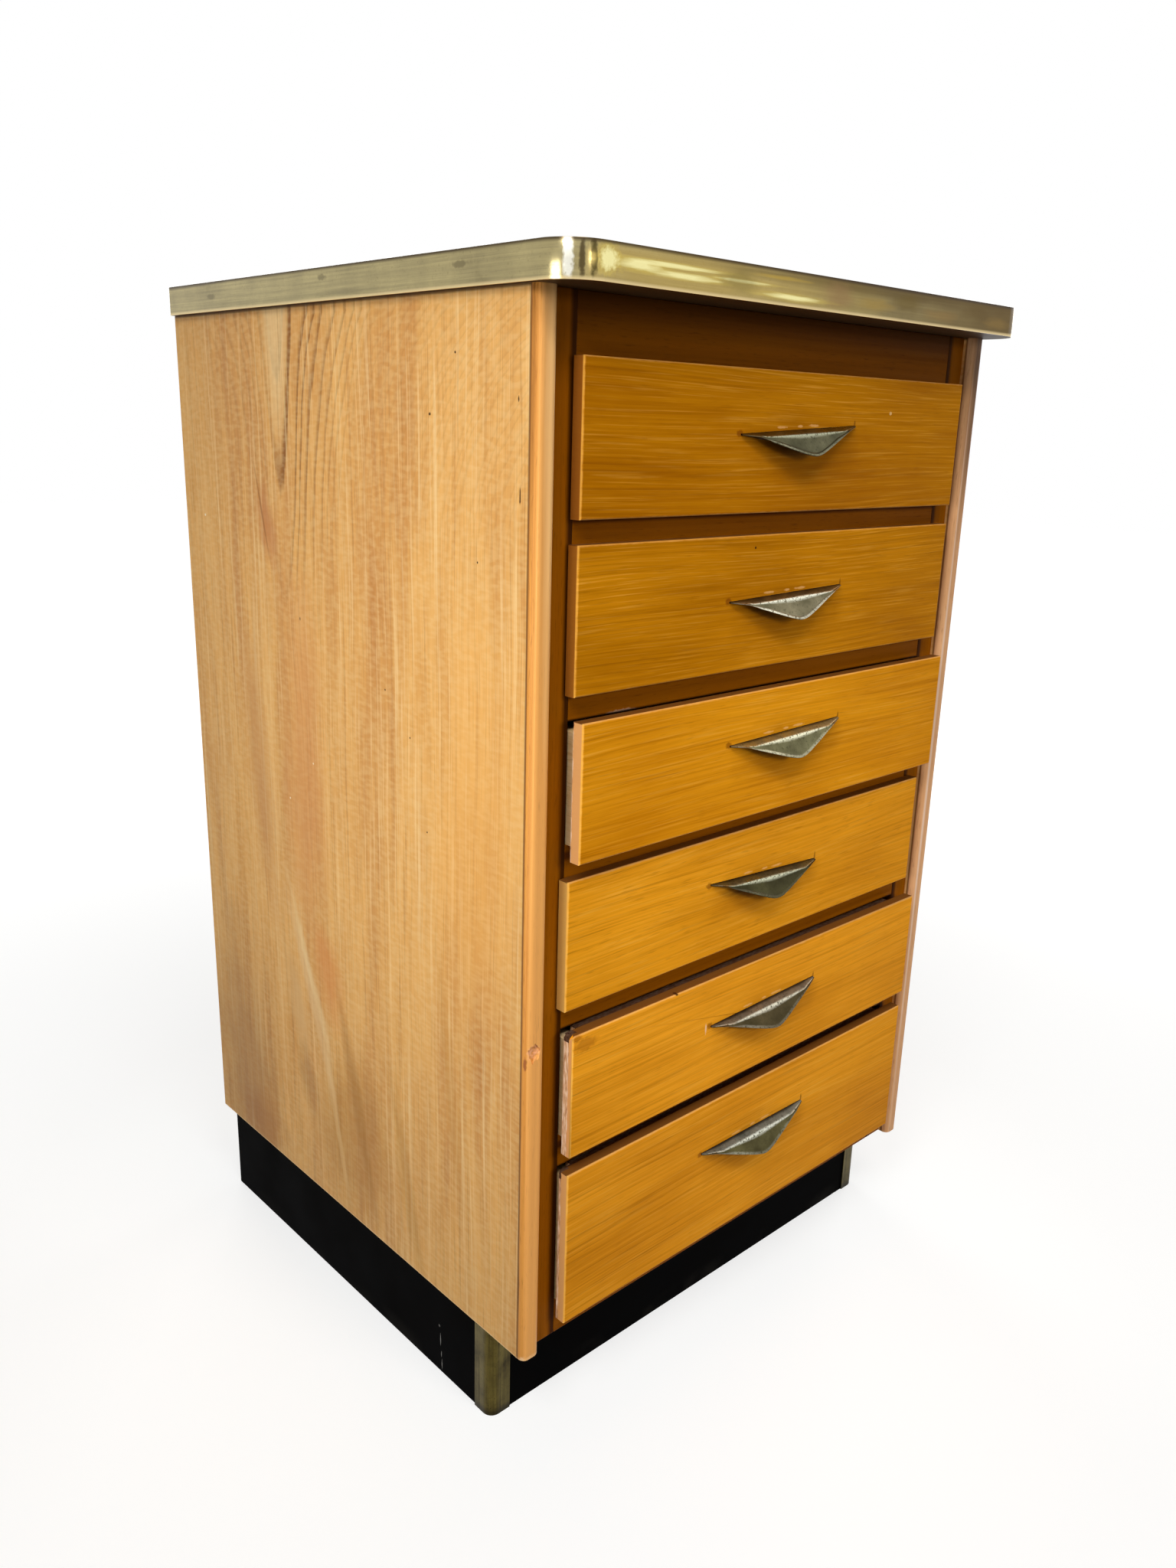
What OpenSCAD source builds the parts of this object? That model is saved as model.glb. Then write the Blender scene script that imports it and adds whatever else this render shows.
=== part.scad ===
// Small chest of six drawers: veneered carcass on a recessed black plinth, brass-banded top,
// lipped drawer fronts that lap over a set-back face frame, and brass sail-shaped pulls.
// Millimetres, +Z up, the front looks along -Y, origin under the middle of the whole chest.

/* [Carcass] */
// Width across the two side panels
body_w = 444; // [370:1:533]
// Depth of the side panels, front edge to back edge
body_d = 428; // [356:1:514]
// Height of the side panels, from the plinth to the top
body_h = 680; // [566:1:816]
// Thickness of a side panel
panel_t = 15; // [12.5:0.5:18]
// Depth of the solid lipping on a side panel's front edge
lipping_d = 6; // [5.5:0.5:10]
// Radius of the lipping's two front arrises
lipping_r = 5; // [2:0.5:5.5]
// Thickness of the bottom board
bottom_t = 15; // [12:0.5:18]
// Thickness of the plywood back panel
back_t = 4; // [3:0.5:5]
// How far the back panel is let in from the back edges
back_recess = 1; // [0.8:0.1:3]
// Width of the side panels' rebate for the back panel
back_rebate_w = 8; // [6:0.5:9]
// Depth of the side panels' rebate for the bottom board
bottom_rebate = 6; // [4:0.5:8]

/* [Face frame] */
// Set-back of the frame behind the side panels' front edges
frame_setback = 8.5; // [7:0.5:12]
// Thickness of the stiles and rails
frame_t = 18; // [15:0.5:22]
// Width of a stile
stile_w = 20; // [16:0.5:24]
// Height of the rail above the top drawer
top_rail_h = 37; // [30:1:45]
// Height of a rail between two drawers
rail_h = 24; // [20:0.5:29]
// Height of the rail below the deep drawer
bottom_rail_h = 27; // [22:0.5:33]

/* [Drawer runners] */
// Width of the ledge under a drawer side
ledge_w = 12; // [10:0.5:15]
// Height of the guide beside a drawer side
guide_h = 14; // [11:0.5:17]
// Clearance between a guide and the drawer side
guide_clear = 0.5; // [0.3:0.1:1.5]
// Height of the kickers above the top drawer
kicker_h = 24; // [18:1:29]

/* [Drawers] */
// Height of the deep bottom drawer's opening
deep_opening_h = 106; // [88:1:127]
// How far each front stands off the frame, top drawer first
stand_off = [3.5, 2.5, 10.5, 1, 9, 7.5]; // [0.5:0.5:60]
// Thickness of a drawer front, lip included
front_t = 20; // [17:0.5:24]
// Thickness of the lip round a drawer front
lip_t = 8.5; // [7:0.5:10.5]
// Radius of the arrises round a drawer front's face
arris_r = 1.2; // [0.5:0.1:2]
// Lap of the lip over the rail above
lap_top = 3; // [2:0.5:5]
// Lap of the lip over the rail below
lap_bottom = 7; // [5:0.5:9]
// Lap of the lip over the stiles
lap_side = 5; // [3:0.5:8]
// Clearance round a drawer front's inner part in its opening
front_clear = 1; // [0.5:0.1:1.5]
// Thickness of a drawer side
side_t = 10; // [8:0.5:12]
// Space above the drawer sides
headroom = 6; // [4:0.5:9]
// Depth of a side's housing in the back of the front
housing_d = 6; // [4:0.5:7.5]
// Thickness of a drawer's back board
rear_t = 10; // [8:0.5:12]
// How far the back board stops below the sides
rear_drop = 5; // [3:0.5:10]
// Thickness of a drawer's plywood bottom
floor_t = 4; // [3:0.5:5]
// Depth of the groove for the bottom
groove_d = 5; // [4:0.5:6]
// Height of the bottom above the lower edge of the sides
groove_up = 8; // [6:0.5:10]
// Play of the bottom in its groove
groove_play = 0.2; // [0.1:0.1:0.4]
// Space left behind a closed drawer
behind_clear = 12; // [8:1:30]

/* [Pulls] */
// Length of a pull, tip to tip
pull_w = 118; // [98:1:142]
// Drop of the apex below the top edge
pull_drop = 16; // [13:0.5:19]
// Reach of the apex out from the drawer front
pull_reach = 15.5; // [13:0.5:19]
// Reach of the folded ridge out from the drawer front
ridge_out = 6.5; // [5:0.5:8]
// Drop of the folded ridge below the top edge
ridge_drop = 2.5; // [1.5:0.5:4]
// Thickness of the brass sheet
sheet_t = 1; // [0.8:0.1:1.4]
// Softness of the rounded apex along the pull
apex_soft = 7; // [4:0.5:12]
// Width of the raised rim along the two lower edges
rim_w = 2.5; // [1.5:0.5:4]
// Depth that the face is dished behind the rim
dish = 0.5; // [0.2:0.1:0.8]
// Drop of the back plate that lies on the wood
plate_drop = 9; // [7:0.5:11]
// Distance of a pull's top edge below the top of its front
pull_below_top = 36; // [30:1:43]
// The same distance on the deep drawer
deep_pull_below_top = 42; // [35:1:50]
// How much higher than that each pull is screwed on, from the top drawer down
pull_lift = [0.5, -3.5, 4, -0.5, 1.5, 2.5]; // [-6:0.5:6]
// How far each pull is turned with its right end up, in degrees
pull_tilt = [3.4, 1.9, 1.7, -3.4, 1.6, -0.4]; // [-5:0.1:5]
// Spacing of a pull's two screws
screw_spacing = 44; // [36:1:52]
// Distance of the screws below the pull's top edge
screw_below = 3.5; // [3:0.5:4.5]
// Diameter of a pull screw
screw_d = 3; // [2.5:0.5:3.5]
// Diameter of a pull screw's head
screw_head_d = 7; // [6:0.5:9]
// Height of a pull screw's head
screw_head_h = 2.2; // [1.5:0.1:3]
// Radial clearance round a screw or a pin
hole_clear = 0.1; // [0.05:0.05:0.3]

/* [Top] */
// Thickness of the top, which is the height of its band
top_t = 20; // [17:0.5:24]
// Overhang of the top in front of the side panels
top_front = 29; // [24:0.5:35]
// Overhang of the top beyond each side panel
top_side = 5; // [2:0.5:10]
// Set-back of the top from the back edges
top_back = 1.5; // [1.5:0.5:6]
// Outer radius of the top's front corners
top_corner_r = 24; // [18:1:29]
// Outer radius of the top's back corners
top_back_r = 3; // [2:0.5:6]
// Thickness of the brass band
band_t = 0.8; // [0.5:0.1:1.2]
// Length of band turned round each back corner
band_return = 18; // [14:1:26]
// Diameter of a pin's shank
pin_d = 1.6; // [1.2:0.1:2]
// Length of a pin's shank
pin_len = 16; // [12:1:20]
// Diameter of a pin's head
pin_head_d = 4; // [3:0.5:5]
// Height of a pin's head
pin_head_h = 0.6; // [0.4:0.1:0.8]
// Pins along each side of the back panel
pins_per_side = 6; // [4:1:8]

/* [Plinth] */
// Height of the plinth
plinth_h = 76; // [63:1:92]
// Set-back of the plinth behind the side panels' front edges
plinth_setback = 39; // [33:1:47]
// Inset of the plinth from the side panels' outer faces
plinth_inset = 3.5; // [2:0.5:8]
// Set-forward of the plinth from the back edges
plinth_back_gap = 15; // [10:1:25]
// Thickness of a plinth board
plinth_t = 18; // [15:0.5:22]
// Width of each leg of a brass corner trim
trim_leg = 18; // [15:0.5:22]
// Thickness of a brass corner trim
trim_t = 1; // [0.8:0.1:1.5]
// Outer radius of a brass corner trim
trim_r = 8; // [6:0.5:10]
// Gap between a trim and the board behind it
trim_gap = 0.05; // [0.02:0.01:0.1]
// Leg of a triangular glue block in a plinth corner
block_leg = 36; // [28:1:44]
// Height of a glue block
block_h = 60; // [45:1:62]

/* [Hidden] */
$fn = 64;
DRAWERS = 6;
DRAWER_PIECES = ["front", "sides", "back", "bottom", "pull", "pull_screws"];

// Colours of the finishes
VENEER = "#d2a262";
LIPPING = "#d69a5c";
AMBER = "#b87a1e";
FRAME = "#8f5a1c";
RAW_WOOD = "#cfae7c";
PLYWOOD = "#c9a878";
BLACK = "#15140f";
BRASS = "#b09a5a";
AGED_BRASS = "#7c7a58";
STEEL = "#8d8f92";

// A little more than nothing, for cuts that run out of a face
cut = 1;

// Shared places: y counts from the side panels' front edges, z from the floor
y_mid = (body_d - top_front) / 2;
side_z = plinth_h;
top_z = plinth_h + body_h;
inner_x = body_w / 2 - panel_t;
open_x = inner_x - stile_w;
box_x = open_x - front_clear;
lip_x = open_x + lap_side;
frame_back = frame_setback + frame_t;
panel_back = body_d - back_recess;
panel_front = panel_back - back_t;
back_half_w = inner_x + back_rebate_w - groove_play;
opening_h = (body_h - top_rail_h - bottom_rail_h - deep_opening_h - (DRAWERS - 1) * rail_h)
            / (DRAWERS - 1);
drawer_len = panel_front - behind_clear - (frame_setback - lip_t);
pin_hole_d = pin_d + 2 * hole_clear;
screw_hole_d = screw_d + 2 * hole_clear;

// Levels of drawer i, counted from 0 at the top
function is_deep(i) = i == DRAWERS - 1;
function open_height(i) = is_deep(i) ? deep_opening_h : opening_h;
function open_top(i) = top_z - top_rail_h - i * (opening_h + rail_h);
function open_bottom(i) = open_top(i) - open_height(i);
function lip_top(i) = open_top(i) + lap_top;
function lip_bottom(i) = open_bottom(i) - lap_bottom;
function side_top(i) = open_top(i) - headroom;
function floor_z(i) = open_bottom(i) + groove_up;
function front_y(i) = frame_setback - lip_t - stand_off[i];
function pull_z(i) = lip_top(i) - (is_deep(i) ? deep_pull_below_top : pull_below_top) + pull_lift[i];

// A box from its lowest to its highest corner
module box(low, high) {
    translate(low) cube(high - low);
}

// Puts a child that is drawn from the side panels' front edges into the chest's own frame
module placed() {
    translate([0, -y_mid, 0]) children();
}

// Draws a child on the right, or mirrored on the left
module on_side(left) {
    mirror([left ? 1 : 0, 0, 0]) children();
}

module on_both_sides() {
    on_side(false) children();
    on_side(true) children();
}

// Carcass boards

module back_pin_places() {
    pitch = body_h / pins_per_side;
    for (k = [0:pins_per_side - 1])
        translate([inner_x + back_rebate_w / 2, panel_back, side_z + (k + 0.5) * pitch])
            rotate([90, 0, 0]) children();
}

module side_panel() {
    difference() {
        box([inner_x, lipping_d, side_z], [body_w / 2, body_d, top_z]);
        box([inner_x - cut, panel_front, side_z - cut],
            [inner_x + back_rebate_w, body_d + cut, top_z + cut]);
        box([inner_x - cut, frame_back, side_z - cut],
            [inner_x + bottom_rebate, panel_front + cut, side_z + bottom_t]);
        back_pin_places() cylinder(d = pin_hole_d, h = pin_len + cut);
    }
}

module side_left() { color(VENEER) placed() on_side(true) side_panel(); }
module side_right() { color(VENEER) placed() on_side(false) side_panel(); }

// Solid strip glued to the panel's front edge, its two front arrises rounded
module lipping() {
    translate([inner_x, 0, side_z]) linear_extrude(body_h) intersection() {
        square([panel_t, lipping_d]);
        union() {
            translate([0, lipping_r]) square([panel_t, lipping_d]);
            translate([lipping_r, 0]) square([panel_t - 2 * lipping_r, lipping_d]);
            for (x = [lipping_r, panel_t - lipping_r])
                translate([x, lipping_r]) circle(lipping_r);
        }
    }
}

module lipping_left() { color(LIPPING) placed() on_side(true) lipping(); }
module lipping_right() { color(LIPPING) placed() on_side(false) lipping(); }

module bottom_board() {
    half_w = inner_x + bottom_rebate;
    color(RAW_WOOD) placed()
        box([-half_w, frame_back, side_z], [half_w, panel_front, side_z + bottom_t]);
}

module back_panel() {
    color(PLYWOOD) placed() difference() {
        box([-back_half_w, panel_front, side_z], [back_half_w, panel_back, top_z]);
        on_both_sides() translate([0, cut, 0])
            back_pin_places() cylinder(d = pin_hole_d, h = back_t + 2 * cut);
    }
}

// Round-headed pin driven along +Z, the underside of its head at z = 0
module pin() {
    translate([0, 0, -pin_head_h]) cylinder(d = pin_head_d, h = pin_head_h);
    cylinder(d = pin_d, h = pin_len);
}

module back_panel_pins() {
    color(STEEL) placed() on_both_sides() back_pin_places() pin();
}

// Face frame

module stile() {
    box([open_x, frame_setback, side_z], [inner_x, frame_back, top_z]);
}

module stile_left() { color(FRAME) placed() on_side(true) stile(); }
module stile_right() { color(FRAME) placed() on_side(false) stile(); }

module rail(low_z, high_z) {
    color(FRAME) placed()
        box([-open_x, frame_setback, low_z], [open_x, frame_back, high_z]);
}

module top_rail() { rail(open_top(0), top_z); }
module bottom_rail() { rail(side_z, open_bottom(DRAWERS - 1)); }

module drawer_rails() {
    for (i = [0:DRAWERS - 2]) rail(open_top(i + 1), open_bottom(i));
}

// Runners: a ledge under each drawer side with a guide standing beside it

module runner(i) {
    low_z = is_deep(i) ? side_z + bottom_t : open_top(i + 1);
    top = open_bottom(i);
    translate([0, panel_front, 0]) rotate([90, 0, 0]) linear_extrude(panel_front - frame_back)
        polygon([[box_x - ledge_w, low_z], [inner_x, low_z], [inner_x, top + guide_h],
                 [box_x + guide_clear, top + guide_h], [box_x + guide_clear, top],
                 [box_x - ledge_w, top]]);
}

module drawer_runners() {
    color(RAW_WOOD) placed() on_both_sides()
        for (i = [0:DRAWERS - 1]) runner(i);
}

// Battens that keep the top drawer from tipping as it is pulled out
module top_drawer_kickers() {
    color(RAW_WOOD) placed() on_both_sides()
        box([box_x - ledge_w, frame_back, open_top(0)],
            [inner_x, panel_front, open_top(0) + kicker_h]);
}

// Plinth

plinth_x = body_w / 2 - plinth_inset;
plinth_end = body_d - plinth_back_gap;
board_r = trim_r - trim_t - trim_gap;

// The front board's two outer corners are rounded to take the brass trims
module plinth_front() {
    corner_x = plinth_x - board_r;
    color(BLACK) placed() translate([0, plinth_setback, 0]) linear_extrude(plinth_h) {
        translate([-plinth_x, board_r]) square([2 * plinth_x, plinth_t - board_r]);
        translate([-corner_x, 0]) square([2 * corner_x, plinth_t]);
        for (x = [-corner_x, corner_x]) translate([x, board_r]) circle(board_r);
    }
}

module plinth_side() {
    box([plinth_x - plinth_t, plinth_setback + plinth_t, 0], [plinth_x, plinth_end, plinth_h]);
}

module plinth_side_left() { color(BLACK) placed() on_side(true) plinth_side(); }
module plinth_side_right() { color(BLACK) placed() on_side(false) plinth_side(); }

module plinth_back() {
    half_w = plinth_x - plinth_t;
    color(BLACK) placed()
        box([-half_w, plinth_end - plinth_t, 0], [half_w, plinth_end, plinth_h]);
}

// Plan of a corner piece with both legs `leg` long and an outer radius r, its corner at 0, 0
module corner_plan(leg, r) {
    translate([-leg, 0]) square([leg - r, leg]);
    translate([-leg, r]) square([leg, leg - r]);
    translate([-r, r]) circle(r);
}

module plinth_corner() {
    proud = trim_t + trim_gap;
    translate([plinth_x + proud, plinth_setback - proud, 0]) linear_extrude(plinth_h)
        difference() {
            corner_plan(trim_leg, trim_r);
            translate([-trim_t, trim_t]) corner_plan(trim_leg, trim_r - trim_t);
        }
}

module plinth_corner_left() { color(BRASS) placed() on_side(true) plinth_corner(); }
module plinth_corner_right() { color(BRASS) placed() on_side(false) plinth_corner(); }

// Triangular blocks glued into the plinth's four inner corners, under the bottom board
module plinth_glue_blocks() {
    front_in = plinth_setback + plinth_t;
    rear_in = plinth_end - plinth_t;
    x = plinth_x - plinth_t;
    color(RAW_WOOD) placed() on_both_sides() translate([0, 0, plinth_h - block_h])
        linear_extrude(block_h) {
            polygon([[x, front_in], [x, front_in + block_leg], [x - block_leg, front_in]]);
            polygon([[x, rear_in], [x - block_leg, rear_in], [x, rear_in - block_leg]]);
        }
}

// Top

top_half_w = body_w / 2 + top_side;
top_rear = body_d - top_back;
band_pin_spacing = band_return - top_back_r - pin_head_d;

// Plan of the top, drawn in by `inset` all round
module top_plan(inset) {
    x = top_half_w - inset;
    low_y = inset - top_front;
    high_y = top_rear - inset;
    front_r = top_corner_r - inset;
    back_r = top_back_r - inset;
    translate([-x, low_y + front_r]) square([2 * x, high_y - low_y - front_r - back_r]);
    translate([front_r - x, low_y]) square([2 * (x - front_r), front_r]);
    translate([back_r - x, high_y - back_r]) square([2 * (x - back_r), back_r]);
    for (side = [-1, 1]) {
        translate([side * (x - front_r), low_y + front_r]) circle(front_r);
        translate([side * (x - back_r), high_y - back_r]) circle(back_r);
    }
}

// Two pins on each turned-in end of the band, driven from behind
module band_pin_places() {
    for (k = [0, 1])
        translate([top_half_w - top_back_r - pin_head_d / 2 - k * band_pin_spacing, top_rear,
                   top_z + top_t / 2])
            rotate([90, 0, 0]) children();
}

module top_board() {
    color(VENEER) placed() difference() {
        translate([0, 0, top_z]) linear_extrude(top_t) top_plan(band_t);
        on_both_sides() band_pin_places() cylinder(d = pin_hole_d, h = pin_len + cut);
    }
}

module top_brass_band() {
    gap_half_w = top_half_w - band_return;
    color(BRASS) placed() difference() {
        translate([0, 0, top_z]) linear_extrude(top_t) difference() {
            top_plan(0);
            top_plan(band_t);
            translate([-gap_half_w, top_rear - top_back_r])
                square([2 * gap_half_w, top_back_r + cut]);
        }
        on_both_sides() translate([0, cut, 0])
            band_pin_places() cylinder(d = pin_hole_d, h = band_t + 2 * cut);
    }
}

module band_pins() {
    color(BRASS) placed() on_both_sides() band_pin_places() pin();
}

// Drawers: each piece is drawn in its drawer's place, standing as far open as it does

module in_drawer(i) {
    placed() translate([0, front_y(i), 0]) children();
}

// Puts a child that is drawn from the middle of a pull's top edge where the pull is screwed on
module at_pull(i) {
    translate([0, 0, pull_z(i)]) rotate([0, -pull_tilt[i], 0]) children();
}

module pull_screw_places(i) {
    at_pull(i) for (x = [-screw_spacing / 2, screw_spacing / 2])
        translate([x, 0, -screw_below]) rotate([-90, 0, 0]) children();
}

// Section across the lip, w wide, with its two front arrises rounded
module lip_section(w) {
    translate([-w / 2, arris_r]) square([w, lip_t - arris_r]);
    translate([arris_r - w / 2, 0]) square([w - 2 * arris_r, lip_t]);
    for (side = [-1, 1])
        translate([side * (w / 2 - arris_r), arris_r]) circle(arris_r);
}

// Two sections crossed, so that all four arrises of the face are rounded and meet in mitres
module lip(i) {
    lip_h = lip_top(i) - lip_bottom(i);
    intersection() {
        translate([0, 0, lip_bottom(i)]) linear_extrude(lip_h) lip_section(2 * lip_x);
        translate([lip_x, 0, lip_bottom(i) + lip_h / 2]) rotate([0, -90, 0])
            linear_extrude(2 * lip_x) lip_section(lip_h);
    }
}

module drawer_front(i) {
    low_z = open_bottom(i) + front_clear;
    high_z = open_top(i) - front_clear;
    color(AMBER) in_drawer(i) difference() {
        union() {
            lip(i);
            box([-box_x, lip_t, low_z], [box_x, front_t, high_z]);
        }
        on_both_sides()
            box([box_x - side_t, front_t - housing_d, low_z - cut],
                [box_x + cut, front_t + cut, high_z + cut]);
        box([-box_x, front_t - groove_d, floor_z(i)],
            [box_x, front_t + cut, floor_z(i) + floor_t + groove_play]);
        translate([0, -cut, 0]) pull_screw_places(i)
            cylinder(d = screw_hole_d, h = front_t + 2 * cut);
    }
}

module drawer_sides(i) {
    inner = box_x - side_t;
    color(RAW_WOOD) in_drawer(i) on_both_sides() difference() {
        box([inner, front_t - housing_d, open_bottom(i)], [box_x, drawer_len, side_top(i)]);
        box([inner - cut, front_t - housing_d - cut, floor_z(i)],
            [inner + groove_d, drawer_len + cut, floor_z(i) + floor_t + groove_play]);
    }
}

// The back board stands on the bottom, which slides in under it
module drawer_back(i) {
    half_w = box_x - side_t;
    color(RAW_WOOD) in_drawer(i)
        box([-half_w, drawer_len - rear_t, floor_z(i) + floor_t],
            [half_w, drawer_len, side_top(i) - rear_drop]);
}

module drawer_bottom(i) {
    half_w = box_x - side_t + groove_d - groove_play;
    color(PLYWOOD) in_drawer(i)
        box([-half_w, front_t - groove_d + groove_play, floor_z(i)],
            [half_w, drawer_len, floor_z(i) + floor_t]);
}

// Pulls: a brass sail folded along a straight ridge into a hood with a rounded apex, open below.
// A section across the pull has [out, up] points, and takes less of the sail towards the tips.

PULL_STATIONS = 28;
// Shares of the full section between which the hollow opens
HOOD_FADE = [0.22, 0.45];
// Length of the sail that is left at the tips
TIP_LEN = 2;
// Largest share of a section's sail that lies above the fold
FOLD_MOST = 0.75;
// Points of a section: shares of the way from the top edge to the ridge, then down the face
RIDGE_START = 0.9;
RIDGE_END = 0.05;
DISH_START = 0.16;
DISH_MIDDLE = 0.5;
// Share of the dish's depth that the ridge's end is sunk, and of the rim that slopes up from the dish
RIDGE_SINK = 0.4;
RIM_SLOPE = 0.6;
// Largest share of the face that the rim takes near the tips
RIM_MOST = 0.4;
apex_e = 2 * apex_soft / pull_w;
apex_far = sqrt(1 + apex_e * apex_e);

// The sail's two flat parts at the middle: the roof from the top edge to the ridge, and the face
full_ridge = [ridge_out, -ridge_drop];
full_face = [pull_reach, -pull_drop] - full_ridge;
roof_len = norm(full_ridge);
sail_len = roof_len + norm(full_face);
roof_way = full_ridge / roof_len;
face_way = full_face / norm(full_face);

// Share of the full section at u, from -1 at one tip to 1 at the other
function share_at(u) = (apex_far - sqrt(u * u + apex_e * apex_e)) / (apex_far - apex_e);

// How far the hollow has opened at a section of share s
function hollow(s) = let (t = min(1, max(0, (s - HOOD_FADE[0]) / (HOOD_FADE[1] - HOOD_FADE[0]))))
    t * t * (3 - 2 * t);

function mix(a, b, t) = a + (b - a) * t;

// The way into the sheet from a face that runs along `way`
function inward(way) = [way[1], -way[0]];

function pull_section(s) = let (
    sail = mix(TIP_LEN, sail_len, s),
    ridge = roof_way * min(roof_len, FOLD_MOST * sail),
    tip = roof_way * min(roof_len, sail) + face_way * max(0, sail - roof_len),
    face_len = norm(tip - ridge),
    behind = inward((tip - ridge) / face_len),
    below = inward(roof_way),
    rim = min(RIM_MOST, rim_w / face_len),
    sunk = behind * dish * hollow(s),
    foot = [0, -(sheet_t + plate_drop * s)],
    hood = [
        tip + behind * sheet_t,
        mix(ridge, tip, DISH_MIDDLE) + behind * (sheet_t + dish),
        ridge + (behind + below) * sheet_t / (1 + behind * below),
        [sheet_t, -2 * sheet_t],
        foot + [sheet_t, 0]],
    underside = len(hood))
    concat(
        [foot, [0, 0], ridge * RIDGE_START,
         mix(ridge, tip, RIDGE_END) + sunk * RIDGE_SINK,
         mix(ridge, tip, DISH_START) + sunk,
         mix(ridge, tip, DISH_MIDDLE) + sunk,
         mix(ridge, tip, 1 - rim) + sunk,
         mix(ridge, tip, 1 - RIM_SLOPE * rim), tip],
        [for (k = [0:underside - 1])
            mix(mix(tip, foot, (k + 1) / (underside + 1)), hood[k], hollow(s))]);

module pull_sheet() {
    sections = [for (j = [0:PULL_STATIONS]) let (u = 2 * j / PULL_STATIONS - 1)
        [for (p = pull_section(share_at(u))) [u * pull_w / 2, -p[0], p[1]]]];
    tips = [for (side = [-1, 1]) [side * pull_w / 2, -sheet_t / 2, -sheet_t / 2]];
    count = len(sections[0]);
    last = PULL_STATIONS * count;
    tip = last + count;
    polyhedron(
        points = concat([for (section = sections) for (p = section) p], tips),
        faces = concat(
            [for (k = [0:count - 1]) [tip, k, (k + 1) % count]],
            [for (k = [0:count - 1]) [tip + 1, last + (k + 1) % count, last + k]],
            [for (j = [0:PULL_STATIONS - 1]) for (k = [0:count - 1]) let (
                a = j * count + k,
                b = j * count + (k + 1) % count)
                each [[a, a + count, b], [b, a + count, b + count]]]),
        convexity = 6);
}

module drawer_pull(i) {
    color(AGED_BRASS) in_drawer(i) difference() {
        at_pull(i) pull_sheet();
        translate([0, -sheet_t - cut, 0]) pull_screw_places(i)
            cylinder(d = screw_hole_d, h = sheet_t + 2 * cut);
    }
}

// Screws from inside the drawer, through the front and into the pull's back plate
module drawer_pull_screws(i) {
    color(STEEL) in_drawer(i) pull_screw_places(i) {
        translate([0, 0, -sheet_t]) cylinder(d = screw_d, h = front_t + sheet_t);
        translate([0, 0, front_t]) cylinder(d = screw_head_d, h = screw_head_h);
    }
}

side_left();
side_right();
lipping_left();
lipping_right();
bottom_board();
back_panel();
back_panel_pins();
stile_left();
stile_right();
top_rail();
drawer_rails();
bottom_rail();
drawer_runners();
top_drawer_kickers();
plinth_front();
plinth_side_left();
plinth_side_right();
plinth_back();
plinth_corner_left();
plinth_corner_right();
plinth_glue_blocks();
top_board();
top_brass_band();
band_pins();
for (i = [0:DRAWERS - 1]) {
    drawer_front(i);
    drawer_sides(i);
    drawer_back(i);
    drawer_bottom(i);
    drawer_pull(i);
    drawer_pull_screws(i);
}
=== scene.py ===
import math

import bmesh
import bpy
from mathutils import Matrix, Vector, noise


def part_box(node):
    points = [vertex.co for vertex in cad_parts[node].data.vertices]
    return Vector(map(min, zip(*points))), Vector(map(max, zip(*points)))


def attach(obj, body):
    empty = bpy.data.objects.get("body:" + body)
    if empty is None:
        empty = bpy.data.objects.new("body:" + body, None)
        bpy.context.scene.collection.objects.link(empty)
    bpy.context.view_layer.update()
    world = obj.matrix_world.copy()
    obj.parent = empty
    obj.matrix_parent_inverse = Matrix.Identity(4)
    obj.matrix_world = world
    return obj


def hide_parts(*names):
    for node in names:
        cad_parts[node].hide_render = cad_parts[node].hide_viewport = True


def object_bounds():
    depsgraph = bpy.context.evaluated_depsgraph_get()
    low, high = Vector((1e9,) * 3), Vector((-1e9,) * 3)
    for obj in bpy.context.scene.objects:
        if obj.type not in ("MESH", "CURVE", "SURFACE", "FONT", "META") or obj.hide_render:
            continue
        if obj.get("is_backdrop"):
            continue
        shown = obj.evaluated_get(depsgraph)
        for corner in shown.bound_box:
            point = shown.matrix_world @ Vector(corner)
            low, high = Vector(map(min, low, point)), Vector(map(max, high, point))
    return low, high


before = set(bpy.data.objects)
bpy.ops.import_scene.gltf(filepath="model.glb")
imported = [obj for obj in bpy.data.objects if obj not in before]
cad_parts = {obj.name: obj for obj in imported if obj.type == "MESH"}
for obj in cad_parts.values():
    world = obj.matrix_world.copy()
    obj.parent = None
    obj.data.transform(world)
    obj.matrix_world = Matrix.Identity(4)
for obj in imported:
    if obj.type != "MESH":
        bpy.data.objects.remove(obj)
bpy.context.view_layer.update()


# Plinth boards: softwood boards butted and glued into a frame that stands on the floor.
# They are sprayed with black lacquer, which gives a deep even black with a low satin gloss.
# Dust dulls it in patches, shoes and mops have scuffed the lowest part, and one side is scratched.

MM = 0.001


def linear(code):
    """The linear colour of an sRGB hex code."""
    parts = [int(code[k:k + 2], 16) / 255 for k in (1, 3, 5)]
    return [p / 12.92 if p <= 0.04045 else ((p + 0.055) / 1.055) ** 2.4 for p in parts] + [1.0]


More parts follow.
